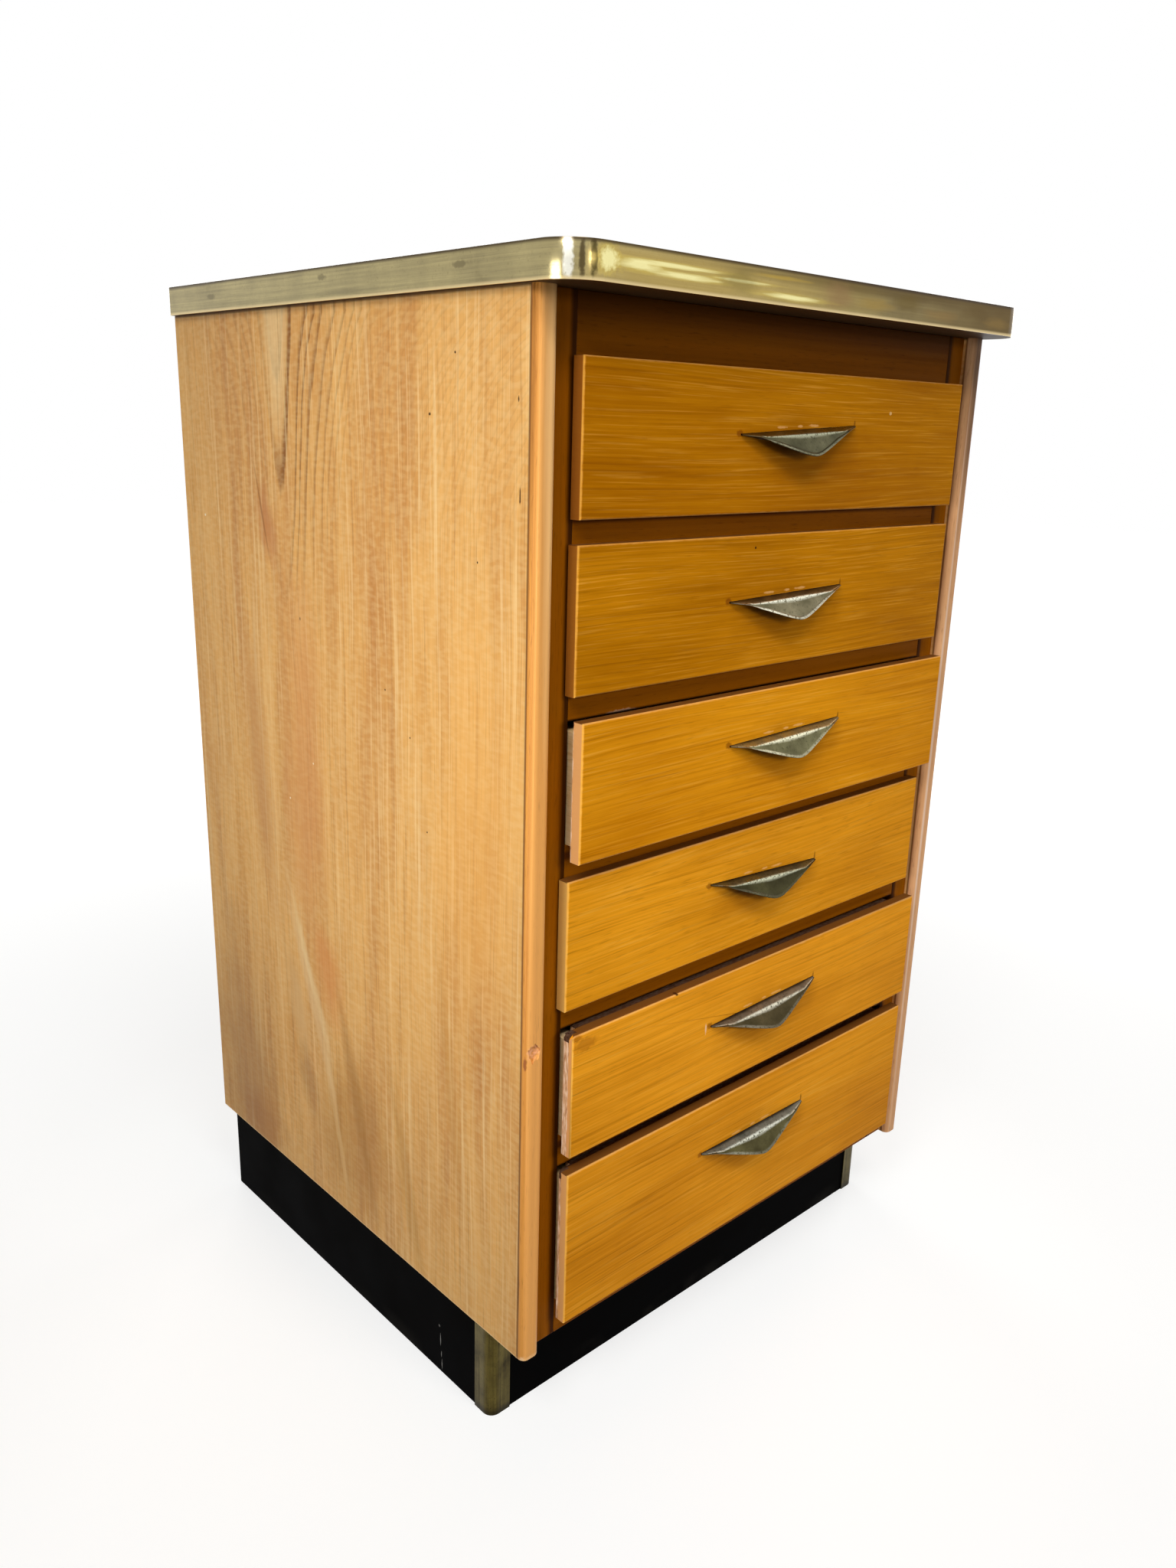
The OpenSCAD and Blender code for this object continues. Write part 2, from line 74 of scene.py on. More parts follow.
def add(tree, kind, links=None, out=None, stops=None, **settings):
    """Adds a node with its settings and links, and returns one of its outputs.

    links gives inputs, by name or number, a value, a hex colour or another node's output.
    """
    node = tree.nodes.new(kind)
    for name, value in settings.items():
        setattr(node, name, value)
    inputs = [socket for socket in node.inputs if socket.enabled]
    for key, value in (links or {}).items():
        socket = inputs[key] if isinstance(key, int) else next(s for s in inputs if s.name == key)
        if isinstance(value, bpy.types.NodeSocket):
            tree.links.new(value, socket)
        else:
            socket.default_value = linear(value) if isinstance(value, str) else value
    if stops:
        steps = node.color_ramp.elements
        steps.remove(steps[-1])
        steps[0].position, steps[0].color = stops[0][0], linear(stops[0][1])
        for place, code in stops[1:]:
            steps.new(place).color = linear(code)
    outputs = [socket for socket in node.outputs if socket.enabled]
    if out:
        return next(socket for socket in outputs if socket.name == out)
    return outputs[0] if outputs else None


def new_finish(name):
    """A new material and its empty node tree."""
    material = bpy.data.materials.new(name)
    material.use_nodes = True
    material.node_tree.nodes.clear()
    return material, material.node_tree


def places(tree):
    """Where each point lies on its piece, whole and by axis."""
    place = add(tree, "ShaderNodeTexCoord", out="Object")
    return place, add(tree, "ShaderNodeSeparateXYZ", {"Vector": place}).node.outputs


def drawn_out(tree, place, scale, size_mm, detail, rough=0.5, out=None):
    """A pattern with features of a size in mm, drawn out along the axes whose scale is below one."""
    scaled = add(tree, "ShaderNodeMapping", {"Vector": place, "Scale": scale})
    return add(tree, "ShaderNodeTexNoise", {"Vector": scaled, "Scale": 1 / (size_mm * MM), "Detail": detail,
                                            "Roughness": rough}, out=out)


def laid(tree, colour, *coats):
    """Lays coats of other colours over a colour. A coat is a pattern, its values where the coat starts
    and where it is full, how much the full coat covers, and a colour."""
    for pattern, start, full, most, code in coats:
        share = add(tree, "ShaderNodeMapRange", {"Value": pattern, "From Min": start, "From Max": full,
                                                 "To Max": most})
        colour = add(tree, "ShaderNodeMix", {"Factor": share, "A": colour, "B": code}, data_type="RGBA")
    return colour


def marked(tree, colour, lines=(), spots=()):
    """Lays ragged spots and soft lines of other colours over a colour, where the chest is worn or dirty.

    A line is an axis, a place on it, half its width, a colour and a strength. A spot is a centre, its
    radii, a colour and a strength, and may have a lean about X in degrees. Lengths are in mm. Small
    spots share one fine raggedness, and each large one has its own, stretched as the spot is.
    """
    place, axes = places(tree)
    ragged_mm, large_mm = 2.5, 20
    ragged = add(tree, "ShaderNodeTexNoise", {"Vector": place, "Scale": 1 / (ragged_mm * MM),
                                              "Detail": 3.0})
    for number, (centre, radii, code, strength, *lean) in enumerate(spots):
        within = add(tree, "ShaderNodeMapping", {
            "Vector": place, "Location": [c * MM for c in centre], "Scale": [r * MM for r in radii],
            "Rotation": (math.radians(lean[0]) if lean else 0.0, 0.0, 0.0)}, vector_type="TEXTURE")
        away = add(tree, "ShaderNodeVectorMath", {0: within}, operation="LENGTH", out="Value")
        edge, full = ragged, 0.95
        if max(radii) > large_mm:
            edge = add(tree, "ShaderNodeTexNoise", {"Vector": within, "W": 3.7 * number, "Scale": 1.8,
                                                    "Detail": 3.0}, noise_dimensions="4D")
            full = 0.75
        away = add(tree, "ShaderNodeMath", {0: edge, 1: 0.9, 2: away}, operation="MULTIPLY_ADD")
        colour = laid(tree, colour, (away, 1.35, full, strength, code))
    for axis, middle, half, code, strength in lines:
        aside = add(tree, "ShaderNodeMath", {0: axes[axis], 1: middle * MM}, operation="SUBTRACT")
        away = add(tree, "ShaderNodeMath", {0: aside}, operation="ABSOLUTE")
        colour = laid(tree, colour, (away, half * MM, 0.35 * half * MM, strength, code))
    return colour


def dress(material, *nodes):
    """Gives CAD nodes a finish."""
    for node in nodes:
        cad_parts[node].data.materials[0] = material


def ease(width_mm, *nodes):
    """Breaks the sharp arrises of CAD nodes, as sandpaper does."""
    for node in nodes:
        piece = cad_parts[node]
        weld = piece.modifiers.new("joined_faces", "WELD")
        weld.merge_threshold = 0.005 * MM
        bevel = piece.modifiers.new("eased_arrises", "BEVEL")
        bevel.width = width_mm * MM
        bevel.segments = 2
        bevel.limit_method = "ANGLE"
        bevel.angle_limit = math.radians(50)


def black_lacquer():
    material, tree = new_finish("black_lacquer")
    place, axes = places(tree)
    dust_mm, grain_mm, scuff_mm = 45, 2.0, 14
    dust = add(tree, "ShaderNodeTexNoise", {"Vector": place, "Scale": 1 / (dust_mm * MM), "Detail": 6.0})
    grain = drawn_out(tree, place, (0.03, 0.03, 1.0), grain_mm, 3.0)
    black = add(tree, "ShaderNodeMix", {"Factor": dust, "A": "#020203", "B": "#090807"}, data_type="RGBA")

    # Grey scuffs on the lowest part, broken up by the dust pattern
    low = add(tree, "ShaderNodeMapRange", {"Value": axes["Z"], "From Max": scuff_mm * MM,
                                           "To Min": 0.8, "To Max": 0.0})
    rubbed = add(tree, "ShaderNodeMapRange", {"Value": dust, "From Min": 0.5, "From Max": 0.75})
    scuff = add(tree, "ShaderNodeMath", {0: low, 1: rubbed}, operation="MULTIPLY")
    colour = add(tree, "ShaderNodeMix", {"Factor": scuff, "A": black, "B": "#2A2825"}, data_type="RGBA")

    # A dent and a thin broken scratch through the lacquer of the left side
    left_x = -218.5
    damage = [((left_x, -99.5, 40), (4, 1.2, 1.4), "#6E6C68", 1.0)]
    damage += [((left_x, -102.8 + 0.075 * z, z), (4, 0.6, half), "#A5A39E", 0.7)
               for z, half in ((28, 7), (16, 4), (7, 6))]
    colour = marked(tree, colour, spots=damage)

    rough = add(tree, "ShaderNodeMapRange", {"Value": dust, "From Min": 0.3, "From Max": 0.7,
                                             "To Min": 0.36, "To Max": 0.56})
    relief = add(tree, "ShaderNodeBump", {"Height": grain, "Strength": 0.25, "Distance": 0.08 * MM})
    shader = add(tree, "ShaderNodeBsdfPrincipled", {
        "Base Color": colour, "Roughness": rough, "Normal": relief, "IOR": 1.5,
        "Specular IOR Level": 0.004})
    add(tree, "ShaderNodeOutputMaterial", {"Surface": shader})
    return material


dress(black_lacquer(), "plinth_front", "plinth_side_left", "plinth_side_right", "plinth_back")
ease(0.5, "plinth_side_left", "plinth_side_right", "plinth_back")


# Bare softwood: glue blocks in the plinth, the bottom board, and later the runners, kickers and
# drawer boxes. Planed and left unfinished, so it is pale, dry and matt, with straight soft grain.
# The lengths below are the sizes of the grain's features along and across the boards.

def grain_places(tree, along):
    """Where each point lies on its piece, turned so that the grain runs along X."""
    axes = places(tree)[1]
    order = {"X": "XYZ", "Y": "YXZ", "Z": "ZYX"}[along]
    return add(tree, "ShaderNodeCombineXYZ", {name: axes[source] for name, source in zip("XYZ", order)})


def timber(name, along, tones, ring_mm=4.0, contrast=1.0, rough=(0.5, 0.7), gloss=0.05, lines=(), spots=()):
    """Straight-grained wood. tones are its earlywood, latewood, pores and worn colours."""
    early, late, pore, worn = tones
    material, tree = new_finish(name)
    grain = grain_places(tree, along)
    broad_mm, ring_len_mm, pore_mm, pore_len_mm = 35, 260, 0.7, 11

    sway = drawn_out(tree, grain, (0.2, 1.0, 1.0), broad_mm, 2.0, out="Color")
    swayed = add(tree, "ShaderNodeVectorMath", {0: sway, 1: (0.0, 2.5 * MM, 2.5 * MM), 2: grain},
                 operation="MULTIPLY_ADD")
    rings = drawn_out(tree, swayed, (ring_mm / ring_len_mm, 1.0, 1.0), ring_mm, 3.0, 0.6)
    pores = drawn_out(tree, swayed, (pore_mm / pore_len_mm, 1.0, 1.0), pore_mm, 2.0)

    half = 0.22 / contrast
    colour = laid(tree, early, (rings, 0.5 - half, 0.5 + half, 1.0, late), (sway, 0.5, 0.8, 0.5, worn),
                  (pores, 0.6, 0.72, 0.55 * contrast, pore))
    colour = marked(tree, colour, lines, spots)
    shine = add(tree, "ShaderNodeMapRange", {"Value": rings, "From Min": 0.3, "From Max": 0.7,
                                             "To Min": rough[0], "To Max": rough[1]})
    height = add(tree, "ShaderNodeMath", {0: rings, 1: pores}, operation="SUBTRACT")
    relief = add(tree, "ShaderNodeBump", {"Height": height, "Strength": 0.35, "Distance": 0.12 * MM})
    shader = add(tree, "ShaderNodeBsdfPrincipled", {
        "Base Color": colour, "Roughness": shine, "Normal": relief, "IOR": 1.5,
        "Specular IOR Level": gloss})
    add(tree, "ShaderNodeOutputMaterial", {"Surface": shader})
    return material


BARE = ["#D3B483", "#C39C66", "#A07B4B", "#DCC59B"]
softwood_upright = timber("bare_softwood_upright", "Z", BARE, contrast=1.3)
softwood_across = timber("bare_softwood_across", "X", BARE, contrast=1.3)
softwood_deep = timber("bare_softwood_deep", "Y", BARE, contrast=1.3)
dress(softwood_upright, "plinth_glue_blocks")
dress(softwood_across, "bottom_board")
dress(softwood_deep, "drawer_runners", "top_drawer_kickers")


# Plinth corner trims: thin sheet brass bent round each front corner of the plinth and pinned there.
# Near the floor the lacquer has gone, so the brass has browned to olive, and rubbing has left paler
# upright streaks. Brass colours its reflections, so its base colours are those of the metal.

def brass(name, tones, streaks_mm, patch_mm, rough, pits=0.5, relief_mm=0.05, fade=None, lines=(),
          spots=()):
    """Tarnished brass. tones are its rubbed, dulled and darkest colours, and streaks_mm is the streaks'
    size along each axis. fade gives two places along X in mm between which the tarnish grows, and its
    colour."""
    rubbed, dulled, darkest = tones
    material, tree = new_finish(name)
    place, axes = places(tree)
    speck_mm = 1.6
    streaks = drawn_out(tree, place, [1 / size for size in streaks_mm], 1, 4.0, 0.65)
    patches = add(tree, "ShaderNodeTexNoise", {"Vector": place, "Scale": 1 / (patch_mm * MM),
                                               "Detail": 5.0, "Roughness": 0.6})
    specks = add(tree, "ShaderNodeTexNoise", {"Vector": place, "Scale": 1 / (speck_mm * MM), "Detail": 2.0})

    both = add(tree, "ShaderNodeMix", {"Factor": 0.5, "A": streaks, "B": patches}, data_type="FLOAT")
    body = laid(tree, dulled, (both, 0.38, 0.64, 1.0, rubbed))
    if fade:
        start_mm, end_mm, code = fade
        body = laid(tree, body, (axes["X"], start_mm * MM, end_mm * MM, 0.9, code))
    pitted = add(tree, "ShaderNodeMapRange", {"Value": specks, "From Min": 0.6, "From Max": 0.75,
                                              "To Max": pits})
    stained = add(tree, "ShaderNodeMapRange", {"Value": patches, "From Min": 0.4, "From Max": 0.28,
                                               "To Max": pits})
    dark = add(tree, "ShaderNodeMath", {0: pitted, 1: stained}, operation="MAXIMUM")
    colour = add(tree, "ShaderNodeMix", {"Factor": dark, "A": body, "B": darkest}, data_type="RGBA")
    colour = marked(tree, colour, lines, spots)
    shine = add(tree, "ShaderNodeMapRange", {"Value": both, "From Min": 0.35, "From Max": 0.65,
                                             "To Min": rough[1], "To Max": rough[0]})
    height = add(tree, "ShaderNodeMath", {0: streaks, 1: dark}, operation="SUBTRACT")
    relief = add(tree, "ShaderNodeBump", {"Height": height, "Strength": 0.3, "Distance": relief_mm * MM})
    shader = add(tree, "ShaderNodeBsdfPrincipled", {
        "Base Color": colour, "Metallic": 1.0, "Roughness": shine, "Normal": relief})
    add(tree, "ShaderNodeOutputMaterial", {"Surface": shader})
    return material


dress(brass("olive_brass", ["#62562A", "#3A3116", "#1C170A"], (1.6, 1.6, 70), 18, (0.3, 0.5),
            lines=[("Z", 0, 7, "#1F1A0C", 0.8)]),
      "plinth_corner_left", "plinth_corner_right")


# Side panels: blockboard faced with elm veneer, its grain upright, under a clear satin lacquer.
# The flat-cut leaf has a pale flame with curved lines beside it near the top, and below that straight
# pale streaks, a fine ripple and a second flame. A dark line shows where the lipping meets it, and
# painted shade darkens it under the top.

def elm_veneer(name, along, heart, lines=(), spots=()):
    """Flat-cut veneer. heart gives the figure's place across the grain in mm, the level of its arch
    along the grain, the arch's radius there, how much that radius shrinks per mm, and the level at
    which the lines have faded."""
    material, tree = new_finish(name)
    grain = grain_places(tree, along)
    axes = add(tree, "ShaderNodeSeparateXYZ", {"Vector": grain}).node.outputs
    across_mm, level_mm, radius_mm, slope, faded_mm = heart
    ring_mm, streak_mm, fibre_mm, ripple_mm, tone_mm = 6.5, 3.2, 1.0, 3.2, 55
    bend_mm, bend_by_mm, wobble_mm = 80, 18, 9

    # Growth rings are cones round a leaning heart line, which the flat leaf cuts in nested arches
    bend = drawn_out(tree, grain, (0.2, 1.0, 0.0), bend_mm, 2.0)
    across = add(tree, "ShaderNodeMath", {0: bend, 1: bend_by_mm * MM, 2: axes["Y"]},
                 operation="MULTIPLY_ADD")
    heart_line = (across_mm + bend_by_mm / 2) * MM
    beside = add(tree, "ShaderNodeMath", {0: across, 1: heart_line}, operation="SUBTRACT")
    above = add(tree, "ShaderNodeMath", {0: axes["X"], 1: level_mm * MM}, operation="SUBTRACT")
    under = add(tree, "ShaderNodeMath", {0: above, 1: -slope, 2: radius_mm * MM}, operation="MULTIPLY_ADD")
    rise = add(tree, "ShaderNodeMapRange", {"Value": axes["X"], "From Min": (level_mm - 60) * MM,
                                            "From Max": (level_mm + 100) * MM})
    rise = add(tree, "ShaderNodeMath", {0: rise, 1: 2.0}, operation="POWER")
    far = add(tree, "ShaderNodeMath", {0: beside}, operation="ABSOLUTE")
    spread = add(tree, "ShaderNodeMapRange", {"Value": far, "From Max": 45 * MM, "To Max": -0.38})
    spread = add(tree, "ShaderNodeMath", {0: rise, 1: spread}, operation="MULTIPLY")
    fanned = add(tree, "ShaderNodeMath", {0: beside, 1: spread, 2: beside}, operation="MULTIPLY_ADD")
    reach = add(tree, "ShaderNodeCombineXYZ", {"X": fanned, "Y": under})
    radius = add(tree, "ShaderNodeVectorMath", {0: reach}, operation="LENGTH", out="Value")
    wobble = drawn_out(tree, grain, (0.12, 1.0, 0.0), wobble_mm, 2.0)
    radius = add(tree, "ShaderNodeMath", {0: wobble, 1: 3 * MM, 2: radius}, operation="MULTIPLY_ADD")
    turns = add(tree, "ShaderNodeMath", {0: radius, 1: 1 / (ring_mm * MM)}, operation="MULTIPLY")
    uneven = add(tree, "ShaderNodeTexNoise", {"W": turns, "Scale": 0.25, "Detail": 1.0},
                 noise_dimensions="1D")
    turns = add(tree, "ShaderNodeMath", {0: uneven, 1: 2.5, 2: turns}, operation="MULTIPLY_ADD")

    # Each ring darkens outwards and ends sharply, and is fainter far from the heart, low and on one side
    within = add(tree, "ShaderNodeMath", {0: turns}, operation="FRACT")
    late = add(tree, "ShaderNodeMapRange", {"Value": within, "From Min": 0.5, "From Max": 0.9},
               interpolation_type="SMOOTHSTEP")
    for value, start, end, first, last in (
            (within, 0.91, 1.0, 1.0, 0.0), (radius, 22 * MM, 80 * MM, 1.0, 0.12),
            (axes["X"], faded_mm * MM, (faded_mm + 110) * MM, 0.0, 1.0),
            (beside, -5 * MM, 12 * MM, 1.0, 0.3)):
        share = add(tree, "ShaderNodeMapRange", {"Value": value, "From Min": start, "From Max": end,
                                                 "To Min": first, "To Max": last})
        late = add(tree, "ShaderNodeMath", {0: late, 1: share}, operation="MULTIPLY")

    # Tones, streaks and fibres drawn out along the grain, and the ripple that crosses it
    bent = add(tree, "ShaderNodeCombineXYZ", {"X": axes["X"], "Y": across, "Z": axes["Z"]})
    tones = drawn_out(tree, bent, (0.12, 1.0, 1.0), tone_mm, 5.0, 0.65)
    streaks = drawn_out(tree, bent, (0.014, 1.0, 1.0), streak_mm, 3.0, 0.7)
    ripples = drawn_out(tree, bent, (1.0, 0.4, 0.4), ripple_mm, 1.0)
    fibres = drawn_out(tree, bent, (0.012, 1.0, 1.0), fibre_mm, 3.0)

    colour = add(tree, "ShaderNodeValToRGB", {"Fac": tones}, stops=[
        (0.3, "#C68848"), (0.45, "#DCA25A"), (0.56, "#E9B166"), (0.7, "#D2944C")])
    colour = add(tree, "ShaderNodeMix", {"Factor": late, "A": colour, "B": "#8A5524"}, data_type="RGBA")
    colour = laid(tree, colour, (radius, 21 * MM, 16 * MM, 0.72, "#ECC88E"),
                  (streaks, 0.55, 0.7, 0.6, "#F6D296"), (streaks, 0.44, 0.3, 0.5, "#B87C42"),
                  (ripples, 0.38, 0.66, 0.18, "#F8DCA0"), (fibres, 0.54, 0.75, 0.36, "#9E6630"))
    colour = marked(tree, colour, lines, spots)

    shine = add(tree, "ShaderNodeMapRange", {"Value": tones, "From Min": 0.3, "From Max": 0.7,
                                             "To Min": 0.34, "To Max": 0.48})
    height = add(tree, "ShaderNodeMath", {0: ripples, 1: fibres}, operation="SUBTRACT")
    relief = add(tree, "ShaderNodeBump", {"Height": height, "Strength": 0.25, "Distance": 0.1 * MM})
    shader = add(tree, "ShaderNodeBsdfPrincipled", {
        "Base Color": colour, "Roughness": shine, "Normal": relief, "IOR": 1.5,
        "Specular IOR Level": 0.08})
    add(tree, "ShaderNodeOutputMaterial", {"Surface": shader})
    return material


side_low, side_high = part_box("side_left")
NICKS = [(-186, 647, 0.8, 7), (-184, 698, 0.8, 2.2), (-102, 689, 1.4, 1.3), (-127, 723, 1.0, 1.0),
         (58, 547, 0.9, 1.8), (-148, 607, 0.8, 1.1), (-95, 427, 0.9, 0.9), (-49, 514, 0.9, 0.9),
         (-77, 487, 0.8, 0.8)]
DOTS = [(197, 610, 1.6, 1.4), (83, 407, 1.2, 1.2), (47, 442, 1.0, 1.0)]
# The first three rows are painted light: painted shade low at the back and in the middle, and a painted
# pool of light on the front middle. The other rows are the veneer's tones and its second flame.
SIDE_TONES_AND_PAINTED_LIGHT = [(180, 150, 75, 150, "#9A6C44", 0.5, 0), (10, 150, 75, 90, "#A8722C", 0.4, 0),
          (-145, 430, 60, 180, "#F6B45C", 0.35, 0), (60, 440, 40, 190, "#D08850", 0.45, 0),
          (36, 275, 24, 56, "#DA8C48", 0.6, -10), (84, 232, 17, 60, "#DDB074", 0.7, -14),
          (74, 172, 20, 40, "#96602A", 0.38, -14), (150, 90, 50, 44, "#A4642C", 0.5, 0),
          (0, 180, 11, 120, "#A8722E", 0.45, -14), (-64, 150, 13, 110, "#B07A32", 0.4, -12),
          (-120, 240, 10, 120, "#C88E44", 0.4, -8), (128, 420, 20, 160, "#BE8450", 0.45, -5),
          (100, 610, 16, 40, "#C07C48", 0.7, -14), (107, 620, 1.8, 44, "#9A6430", 0.7, -14),
          (64, 250, 9, 110, "#E8C088", 0.6, -21), (76, 298, 6, 64, "#F2D096", 0.5, -20),
          (54, 246, 6.5, 60, "#F4D59C", 0.5, -24), (37, 180, 6, 66, "#EECB90", 0.45, -13),
          (25, 124, 5, 54, "#E6C084", 0.45, -15)]
side_x = side_low.x / MM
side_spots = [((side_x, y, z), (5, wide, tall), code, most, lean)
              for y, z, wide, tall, code, most, lean in SIDE_TONES_AND_PAINTED_LIGHT]
side_spots += [((side_x, y, z), (5, wide, tall), "#4A2C12", 1.0) for y, z, wide, tall in NICKS]
side_spots += [((side_x, y, z), (5, wide, tall), "#F6E2BC", 1.0) for y, z, wide, tall in DOTS]
# The last line is painted shade under the band; the first is the lipping's glue line and the second a worn
# bottom edge.
dress(elm_veneer("elm_veneer_upright", "Z", (76, 650, 20, 0.1, 540), spots=side_spots, lines=[
    ("Y", side_low.y / MM, 1.3, "#6A3F1A", 0.8), ("Z", side_low.z / MM, 1.4, "#F1CF9A", 0.6),
    ("Z", side_high.z / MM, 2.0, "#3A2210", 0.85)]),
    "side_left", "side_right")
ease(0.5, "side_left", "side_right")


# Lippings: solid strips glued to the side panels' front edges and rounded over.
# Straight-grained wood, darker along the glue line, with painted highlights on the rounding and the front
# face, and painted shade darkening the tops.
# The left one has been knocked: a bite is torn from its arris, and the glue line has opened below.

lip_low, lip_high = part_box("lipping_left")
BITE = (-216.5, -199.3, 308)
LIPPING_GRAIN = {"ring_mm": 3.0, "contrast": 0.9, "rough": (0.3, 0.42), "gloss": 0.1}
glue_line = ("Y", lip_high.y / MM, 1.1, "#6A3C18", 0.8)
# A painted highlight pales the whole front face.
face_painted_highlight = ("Y", lip_low.y / MM, 1.8, "#F2B064", 0.5)
dress(timber("lipping_wood_left", "Z", ["#DE9A48", "#C68038", "#8E5424", "#E8AC60"], **LIPPING_GRAIN,
             lines=[glue_line, face_painted_highlight],
             # Painted shade darkens the top of the outer side, and two painted highlights pale the front
             # face near the top and run down the rounding. The last four are the bite, its torn edge, the
             # opened glue line and a pale knock.
             spots=[((-222, -195.5, 740), (4, 2.4, 190), "#8A5424", 0.6),
                    ((-211, -199.5, 720), (8, 2.6, 240), "#FFD898", 0.75),
                    ((-220.4, -198.2, 430), (1.5, 1.5, 420), "#F0AE60", 0.55),
                    (BITE, (7, 3.0, 7), "#E3A47A", 0.9),
                    ((-221, -196.5, 301), (4, 1.6, 6), "#8A4A2A", 0.8),
                    ((-222, -194, 131), (4, 1.0, 30), "#4A2A10", 0.8),
                    ((-216, -198, 76), (12, 5, 4), "#F0C998", 0.8)]),
      "lipping_left")
dress(timber("lipping_wood_right", "Z", ["#E2AC78", "#CC9262", "#94603A", "#ECC49A"], **LIPPING_GRAIN,
             lines=[glue_line],
             # Painted shade darkens the top, and a painted highlight runs down the rounding.
             spots=[((216, -197, 740), (14, 9, 170), "#55371E", 0.8),
                    ((211, -199.5, 400), (1.8, 1.8, 420), "#E4C6AC", 0.85)]),
      "lipping_right")


def bite(name, node, centre_mm, radii_mm, seed):
    """Takes a ragged bite out of a CAD node, with a hidden lump as the cutter."""
    mesh = bmesh.new()
    bmesh.ops.create_icosphere(mesh, subdivisions=3, radius=1.0)
    for vert in mesh.verts:
        swell = 1 + 0.45 * noise.noise(vert.co * 2.2 + Vector((seed, 0, 0)))
        vert.co = [(c + v * r * swell) * MM for c, v, r in zip(centre_mm, vert.co, radii_mm)]
    data = bpy.data.meshes.new(name)
    mesh.to_mesh(data)
    mesh.free()
    lump = bpy.data.objects.new(name, data)
    bpy.context.scene.collection.objects.link(lump)
    lump.hide_render = True
    lump.hide_viewport = True
    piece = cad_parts[node]
    piece.modifiers.new("joined_faces", "WELD").merge_threshold = 0.005 * MM
    cut = piece.modifiers.new(name, "BOOLEAN")
    cut.operation = "DIFFERENCE"
    cut.solver = "EXACT"
    cut.object = lump


bite("lipping_bite", "lipping_left", BITE, (4.6, 2.0, 6.0), seed=3)


# Face frame: two stiles and seven rails, dowelled together and set back between the sides.
# Solid wood under amber lacquer, darker than the drawers because light and hands reach it less.
# Painted shade darkens the stiles beside the drawers, the rails under the lips and along their lower
# edges, and the top rail under the overhang, and crooked drawers have left two whitish scuffs.

AMBER_DARK = ["#955404", "#7C4302", "#532B02", "#A05E08"]
SCUFFS = [((-143, -191, 515.5), (16, 4, 2.0), "#C9A68C", 0.6),
          ((172, -191, 217), (17, 4, 2.0), "#C9A68C", 0.6)]
FRAME_GRAIN = {"ring_mm": 3.5, "contrast": 0.7, "rough": (0.36, 0.5), "gloss": 0.02}

# Heights of the first drawer's lower edge and of the rail's below it, and the step down to the next ones
LIP_FOOT_Z, RAIL_FOOT_Z, DRAWER_STEP = 634, 617, 102
# Painted shade, with some grime, darkens the stiles beside the drawers' ends.
STILE_SHADE_X = 188
shade_beside_drawers = [("X", side * STILE_SHADE_X, 5.0, "#220A02", 0.85) for side in (-1, 1)]
dress(timber("amber_frame_upright", "Z", AMBER_DARK, **FRAME_GRAIN, lines=shade_beside_drawers),
      "stile_left", "stile_right")
# Painted shade darkens each rail under the lip above it.
shade_under_lips = [("Z", LIP_FOOT_Z - DRAWER_STEP * i, 4.0, "#441A04", 0.75) for i in range(5)]
# A painted shadow darkens each rail's lower edge, where it meets the step of the drawer below.
shadow_under_rails = [("Z", RAIL_FOOT_Z - DRAWER_STEP * i, 1.8, "#140602", 0.95) for i in range(5)]
# The overhanging top's painted shadow darkens the top rail's upper part.
overhang_shadow = ("Z", 754, 21, "#2A1002", 0.66)
dress(timber("amber_frame_across", "X", AMBER_DARK, **FRAME_GRAIN,
             lines=shade_under_lips + shadow_under_rails + [overhang_shadow], spots=SCUFFS),
      "top_rail", "drawer_rails", "bottom_rail")
ease(0.6, "stile_left", "stile_right", "top_rail", "drawer_rails", "bottom_rail")


# Back panel: thin birch plywood let into the sides and pinned, sanded and left bare.
# Rotary-cut birch is pale with wide faint waves. The pins are round-headed steel, zinc plated.

BIRCH = ["#D9BC8E", "#CCAA78", "#B08C5C", "#E2CCA4"]
dress(timber("birch_plywood_upright", "Z", BIRCH, ring_mm=14.0, contrast=0.7), "back_panel")


def zinc_plate():
    material, tree = new_finish("zinc_plated_steel")
    place = add(tree, "ShaderNodeTexCoord", out="Object")
    spangle_mm = 1.2
    spangle = add(tree, "ShaderNodeTexNoise", {"Vector": place, "Scale": 1 / (spangle_mm * MM),
                                               "Detail": 3.0})
    colour = add(tree, "ShaderNodeMix", {"Factor": spangle, "A": "#7C7D7C", "B": "#A6A7A6"},
                 data_type="RGBA")
    shine = add(tree, "ShaderNodeMapRange", {"Value": spangle, "To Min": 0.35, "To Max": 0.6})
    shader = add(tree, "ShaderNodeBsdfPrincipled", {
        "Base Color": colour, "Metallic": 1.0, "Roughness": shine})
    add(tree, "ShaderNodeOutputMaterial", {"Surface": shader})
    return material


steel = zinc_plate()
dress(steel, "back_panel_pins")


# Drawer fronts: solid lipped boards under amber lacquer, their fine straight grain running across.
# Their arrises have worn pale, less on the upper two, and carry a painted highlight; behind the lip the
# wood is bare, torn on some. Each is cut from another board, so they differ a little, and painted shade
# also darkens the upper fronts and their lip ends. Hands have left grime round the pulls, with a painted
# shadow below each pull and painted shade behind it.

DRAWERS = range(1, 7)
LIP_T_MM = 8.5
